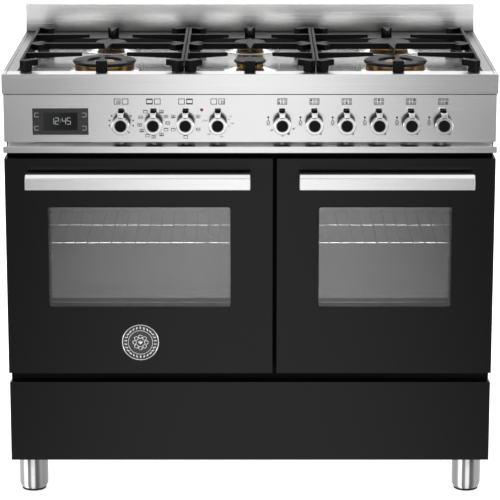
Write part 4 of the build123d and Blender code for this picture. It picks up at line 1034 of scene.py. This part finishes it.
class COOKER_OT_badge(bpy.types.Operator):
    """Set a plain ringed disc on the left door"""
    bl_idname = "cooker.badge"
    bl_label = "Badge"
    x = -225 * MM
    z = 335.5 * MM
    radius = 36 * MM
    inner_radius = 24.4 * MM
    plate = 0.9 * MM
    relief = 1.1 * MM
    tick_count = 26
    petal_count = 8

    def execute(self, context):
        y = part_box("door_left_skin")[0].y
        centre = (self.x, y, self.z)
        near = self.radius
        far = near + 2 * MM
        ring = spun("ring", [
            (near, 0), (far, 0), (far, -1.2 * MM), (far - 0.6 * MM, -1.8 * MM),
            (near + 0.6 * MM, -1.8 * MM), (near, -1.2 * MM), (near, 0)], centre, BACK, 72)
        near = self.inner_radius
        far = near + 1.2 * MM
        inner = spun("inner", [
            (near, -self.plate), (far, -self.plate), (far - 0.2 * MM, -1.4 * MM),
            (near + 0.2 * MM, -1.4 * MM), (near, -self.plate)], centre, BACK, 72)
        ticks = open_mesh("ticks")
        raised = (self.x, y - self.relief, self.z)
        for i in range(self.tick_count):
            angle = 360 * i / self.tick_count
            place = around(raised, angle, 30.6 * MM)
            bar(*place, 2.6 * MM, 6.4 * MM)
            bpy.ops.transform.rotate(value=math.radians(angle), orient_axis="Y", center_override=place)
        for i in range(self.petal_count):
            dot(*around(raised, 360 * i / self.petal_count, 12 * MM), 4.4 * MM, 1.2 * MM)
        dot(*raised, 4.2 * MM)
        close_print(ticks, 0.4 * MM)
        settle(join([ring, inner, ticks], "rings"), "badge_rings", "knob", "door_left")
        plate = spun("plate", [
            (0, 0), (self.radius, 0), (self.radius, -self.plate), (0, -self.plate)], centre, BACK, 72)
        settle(plate, "badge_plate", "clock", "door_left")
        return {"FINISHED"}


class COOKER_OT_windows(bpy.types.Operator):
    """Leave the outer window panes clear in front of the coated inner ones"""
    bl_idname = "cooker.windows"
    bl_label = "Windows"

    def execute(self, context):
        for side in ("left", "right"):
            low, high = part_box(f"door_{side}_glass")
            panes = frame["nodes"][f"door_{side}_glass"]
            panes.data.materials.append(MATERIALS["glass"])
            for face in panes.data.polygons:
                if (panes.matrix_world @ face.center).y < (low.y + high.y) / 2:
                    face.material_index = 1
        return {"FINISHED"}


class COOKER_OT_racks(bpy.types.Operator):
    """Make the oven racks from round rods and wires"""
    bl_idname = "cooker.racks"
    bl_label = "Oven Racks"
    inset = 8 * MM
    end_gap = 2 * MM
    pitch = 24.5 * MM
    rod_place = 14 * MM

    def execute(self, context):
        low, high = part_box("oven_racks")
        radius = sizes().rack_wire
        z = (low.z + high.z) / 2
        rods = []
        wires = []
        lanes = []
        for side in ("left", "right"):
            start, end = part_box(f"oven_cavity_{side}")
            first = start.x + self.inset
            last = end.x - self.inset
            count = round((last - first) / self.pitch)
            rod = self.rod((first, 0, z), (last, 0, z), radius * 0.8)
            rods += [copy_to(rod, (0, y, 0)) for y in (low.y + self.rod_place, -self.rod_place)]
            # The rear rod joins the long wires in their near-black painted shade
            wires += copies(rod, [(0, high.y - self.end_gap, 0)])
            span = last - first - 2 * self.end_gap
            lanes += [(first + self.end_gap + span * i / count, 0, 0) for i in range(count + 1)]
        lift = z + radius * 1.4
        wires += copies(self.rod((0, low.y, lift), (0, high.y, lift), radius), lanes)
        settle(join(rods, "rods"), "oven_racks_dressed", "wire", "chassis", ("oven_racks",))
        settle(join(wires, "wires"), "oven_rack_wires", "dark_wire_painted_shade", "chassis")
        return {"FINISHED"}

    def rod(self, start, end, radius):
        """A straight rod with rounded ends."""
        start = Vector(start)
        end = Vector(end)
        along = end - start
        clear_selection()
        bpy.ops.mesh.primitive_cylinder_add(
            vertices=10, radius=radius, depth=along.length, location=(start + end) / 2,
            rotation=along.to_track_quat("Z", "Y").to_euler())
        piece = bpy.context.object
        bpy.ops.object.transform_apply(location=True, rotation=True, scale=True)
        round_edges(piece, radius * 0.4, 1)
        return piece


class COOKER_OT_legs(bpy.types.Operator):
    """Turn the steel legs and their pads"""
    bl_idname = "cooker.legs"
    bl_label = "Legs"
    pad_height = 4 * MM

    def execute(self, context):
        low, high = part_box("legs")
        foot = self.pad_height
        places = [(x, y, 0) for x in (low.x + LEG_RADIUS, high.x - LEG_RADIUS)
                  for y in (low.y + LEG_RADIUS, high.y - LEG_RADIUS)]
        leg = spun("leg", [
            (0, foot), (25 * MM, foot), (27.4 * MM, 7 * MM), (29.2 * MM, 10.5 * MM),
            (LEG_RADIUS, 14.5 * MM), (LEG_RADIUS, high.z), (0, high.z)], (0, 0, 0), UP, 72)
        pad = spun("pad", [(0, 0), (24.4 * MM, 0), (25.4 * MM, 1 * MM), (25.4 * MM, foot), (0, foot)],
                   (0, 0, 0), UP, 56)
        legs = copies(leg, places)
        pads = copies(pad, places)
        settle(join(legs, "legs"), "legs_dressed", "leg", "chassis", ("legs",))
        settle(join(pads, "pads"), "leg_pads_dressed", "rubber", "chassis", ("leg_pads",))
        return {"FINISHED"}


# The camera's place, its tilt below level in degrees and its lens in millimetres
CAMERA_PLACE = (0, -5.266, 1.719)
CAMERA_TILT = 13.414
CAMERA_LENS = 181.15
# The smooth steps of the sky's light: the axis that each follows, its span along it and its two levels
SKY_STEPS = {
    "rear": ("Y", -0.6, 0.75, 0.15, 2.5),
    "fade": ("Z", 0.4, 0.75, 1.0, 0.36),
    "above": ("Z", 0.7, 0.95, 0.0, 1.4),
    "low_front": ("Y", -0.2, 0.3, 3.4, 0.05),
    "rise": ("Z", 0.2, 0.27, 0.0, 1.0),
}


class COOKER_OT_stage(bpy.types.Operator):
    """Set up the floor, the lit card, the black flag, the lights and the camera"""
    bl_idname = "cooker.stage"
    bl_label = "Stage"

    def execute(self, context):
        scene = context.scene
        scene.view_settings.view_transform = "Standard"
        scene.view_settings.look = "None"
        self.floor()
        self.card()
        self.flag()
        self.oven_lamps()
        self.sky(scene)
        clear_selection()
        bpy.ops.object.camera_add(location=CAMERA_PLACE, rotation=(math.radians(90 - CAMERA_TILT), 0, 0))
        camera = context.object
        camera.data.sensor_width = 36
        camera.data.lens = CAMERA_LENS
        camera.data.clip_end = 200
        scene.camera = camera
        return {"FINISHED"}

    def plane(self, name, material, place, size, turn=(0, 0, 0)):
        """A flat piece of the stage with its finish."""
        clear_selection()
        bpy.ops.mesh.primitive_plane_add(size=1, location=place, rotation=turn)
        bpy.ops.transform.resize(value=size)
        bpy.ops.object.transform_apply(location=True, rotation=True, scale=True)
        made = bpy.context.object
        made.name = name
        made.data.materials.append(material)
        return made

    def floor(self):
        """A pale floor, lit enough to end in the white background."""
        material, tree, place = new_material("pale_floor")
        shader = add_node(tree, "ShaderNodeBsdfPrincipled", {
            "Roughness": 0.9, "Base Color": linear("#F4F4F4"), "Emission Color": (1, 1, 1, 1),
            "Emission Strength": 0.75})
        add_node(tree, "ShaderNodeOutputMaterial", {"Surface": shader})
        floor = self.plane("studio_floor", material, (0, 0, -0.5 * MM), (120, 120, 1))

    def card(self):
        """A lit card on the floor in front, bright in the middle and hidden from the camera."""
        material, tree, place = new_material("lit_card")
        split = add_node(tree, "ShaderNodeSeparateXYZ", {"Vector": place})
        away = add_node(tree, "ShaderNodeMath", {0: split.outputs["X"]}, operation="ABSOLUTE")
        fall = add_node(tree, "ShaderNodeMapRange", {
            "Value": away, "From Min": 0.1, "From Max": 0.92, "To Min": 1.47, "To Max": 0.32},
            interpolation_type="SMOOTHSTEP")
        glow = add_node(tree, "ShaderNodeEmission", {"Strength": fall})
        add_node(tree, "ShaderNodeOutputMaterial", {"Surface": glow})
        card = self.plane("studio_card", material, (0, -3.87, 1 * MM), (8, 7, 1))
        card.visible_camera = False

    def flag(self):
        """A black flag above the front, which keeps the upper light out of the upstand's reflection."""
        material, tree, place = new_material("black_flag")
        shader = add_node(tree, "ShaderNodeBsdfPrincipled", {"Roughness": 1.0, "Base Color": (0, 0, 0, 1)})
        add_node(tree, "ShaderNodeOutputMaterial", {"Surface": shader})
        flag = self.plane("studio_flag", material, (0, -0.5, 1.342), (2.4, 1, 0.6), FRONT_TURN)
        flag.visible_camera = False
        flag.visible_diffuse = False
        flag.visible_shadow = False

    def oven_lamps(self):
        """The lamp inside each oven, as a soft panel under its roof."""
        for side in ("left", "right"):
            low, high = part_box(f"oven_cavity_{side}")
            clear_selection()
            bpy.ops.object.light_add(
                type="AREA", location=((low.x + high.x) / 2, low.y + 40 * MM, high.z - 45 * MM),
                rotation=(math.radians(40), 0, 0))
            lamp = bpy.context.object
            lamp.name = f"oven_lamp_{side}"
            lamp.data.shape = "RECTANGLE"
            lamp.data.size = (high.x - low.x) * 0.8
            lamp.data.size_y = 40 * MM
            lamp.data.energy = 2.2
            lamp.visible_camera = False

    def sky(self, scene):
        """Soft light, bright behind and low in front, that the camera sees as a white background."""
        world = bpy.data.worlds.new("studio_sky")
        world.use_nodes = True
        scene.world = world
        tree = world.node_tree
        tree.nodes.clear()
        place = add_node(tree, "ShaderNodeTexCoord")
        split = add_node(tree, "ShaderNodeSeparateXYZ", {"Vector": place.outputs["Generated"]})
        step = {}
        for name, (axis, start, end, first, last) in SKY_STEPS.items():
            step[name] = add_node(tree, "ShaderNodeMapRange", {
                "Value": split.outputs[axis], "From Min": start, "From Max": end,
                "To Min": first, "To Max": last}, interpolation_type="SMOOTHSTEP")
        level = add_node(tree, "ShaderNodeMath", {0: step["rear"], 1: step["fade"]}, operation="MULTIPLY")
        high = add_node(tree, "ShaderNodeMath", {0: level, 1: step["above"]}, operation="MAXIMUM")
        light = add_node(tree, "ShaderNodeMix", {"Factor": step["rise"], "A": step["low_front"], "B": high})
        ray = add_node(tree, "ShaderNodeLightPath").outputs["Is Camera Ray"]
        seen = add_node(tree, "ShaderNodeMath", {0: ray, 1: light}, operation="MAXIMUM")
        back = add_node(tree, "ShaderNodeBackground", {"Strength": seen, "Color": (1, 1, 1, 1)})
        add_node(tree, "ShaderNodeOutputWorld", {"Surface": back})


STEPS = (
    COOKER_OT_finishes,
    COOKER_OT_sheetwork,
    COOKER_OT_pan_supports,
    COOKER_OT_burners,
    COOKER_OT_knobs,
    COOKER_OT_fascia,
    COOKER_OT_badge,
    COOKER_OT_windows,
    COOKER_OT_racks,
    COOKER_OT_legs,
    COOKER_OT_stage,
)


class COOKER_PT_panel(bpy.types.Panel):
    """Lists the steps that build the cooker"""
    bl_idname = "COOKER_PT_panel"
    bl_label = "Range Cooker"
    bl_space_type = "VIEW_3D"
    bl_region_type = "UI"
    bl_category = "Cooker"

    def draw(self, context):
        for group in (sizes(), colours()):
            for name in group.__annotations__:
                self.layout.prop(group, name)
        for step in STEPS:
            self.layout.operator(step.bl_idname)


CLASSES = (CookerSizes, CookerColours, *STEPS, COOKER_PT_panel)


def register():
    for item in CLASSES:
        bpy.utils.register_class(item)
    bpy.types.Scene.cooker_sizes = bpy.props.PointerProperty(type=CookerSizes)
    bpy.types.Scene.cooker_colours = bpy.props.PointerProperty(type=CookerColours)


def unregister():
    del bpy.types.Scene.cooker_colours
    del bpy.types.Scene.cooker_sizes
    for item in reversed(CLASSES):
        bpy.utils.unregister_class(item)


def main():
    register()
    for step in STEPS:
        group, name = step.bl_idname.split(".")
        getattr(getattr(bpy.ops, group), name)()


if __name__ == "__main__":
    main()
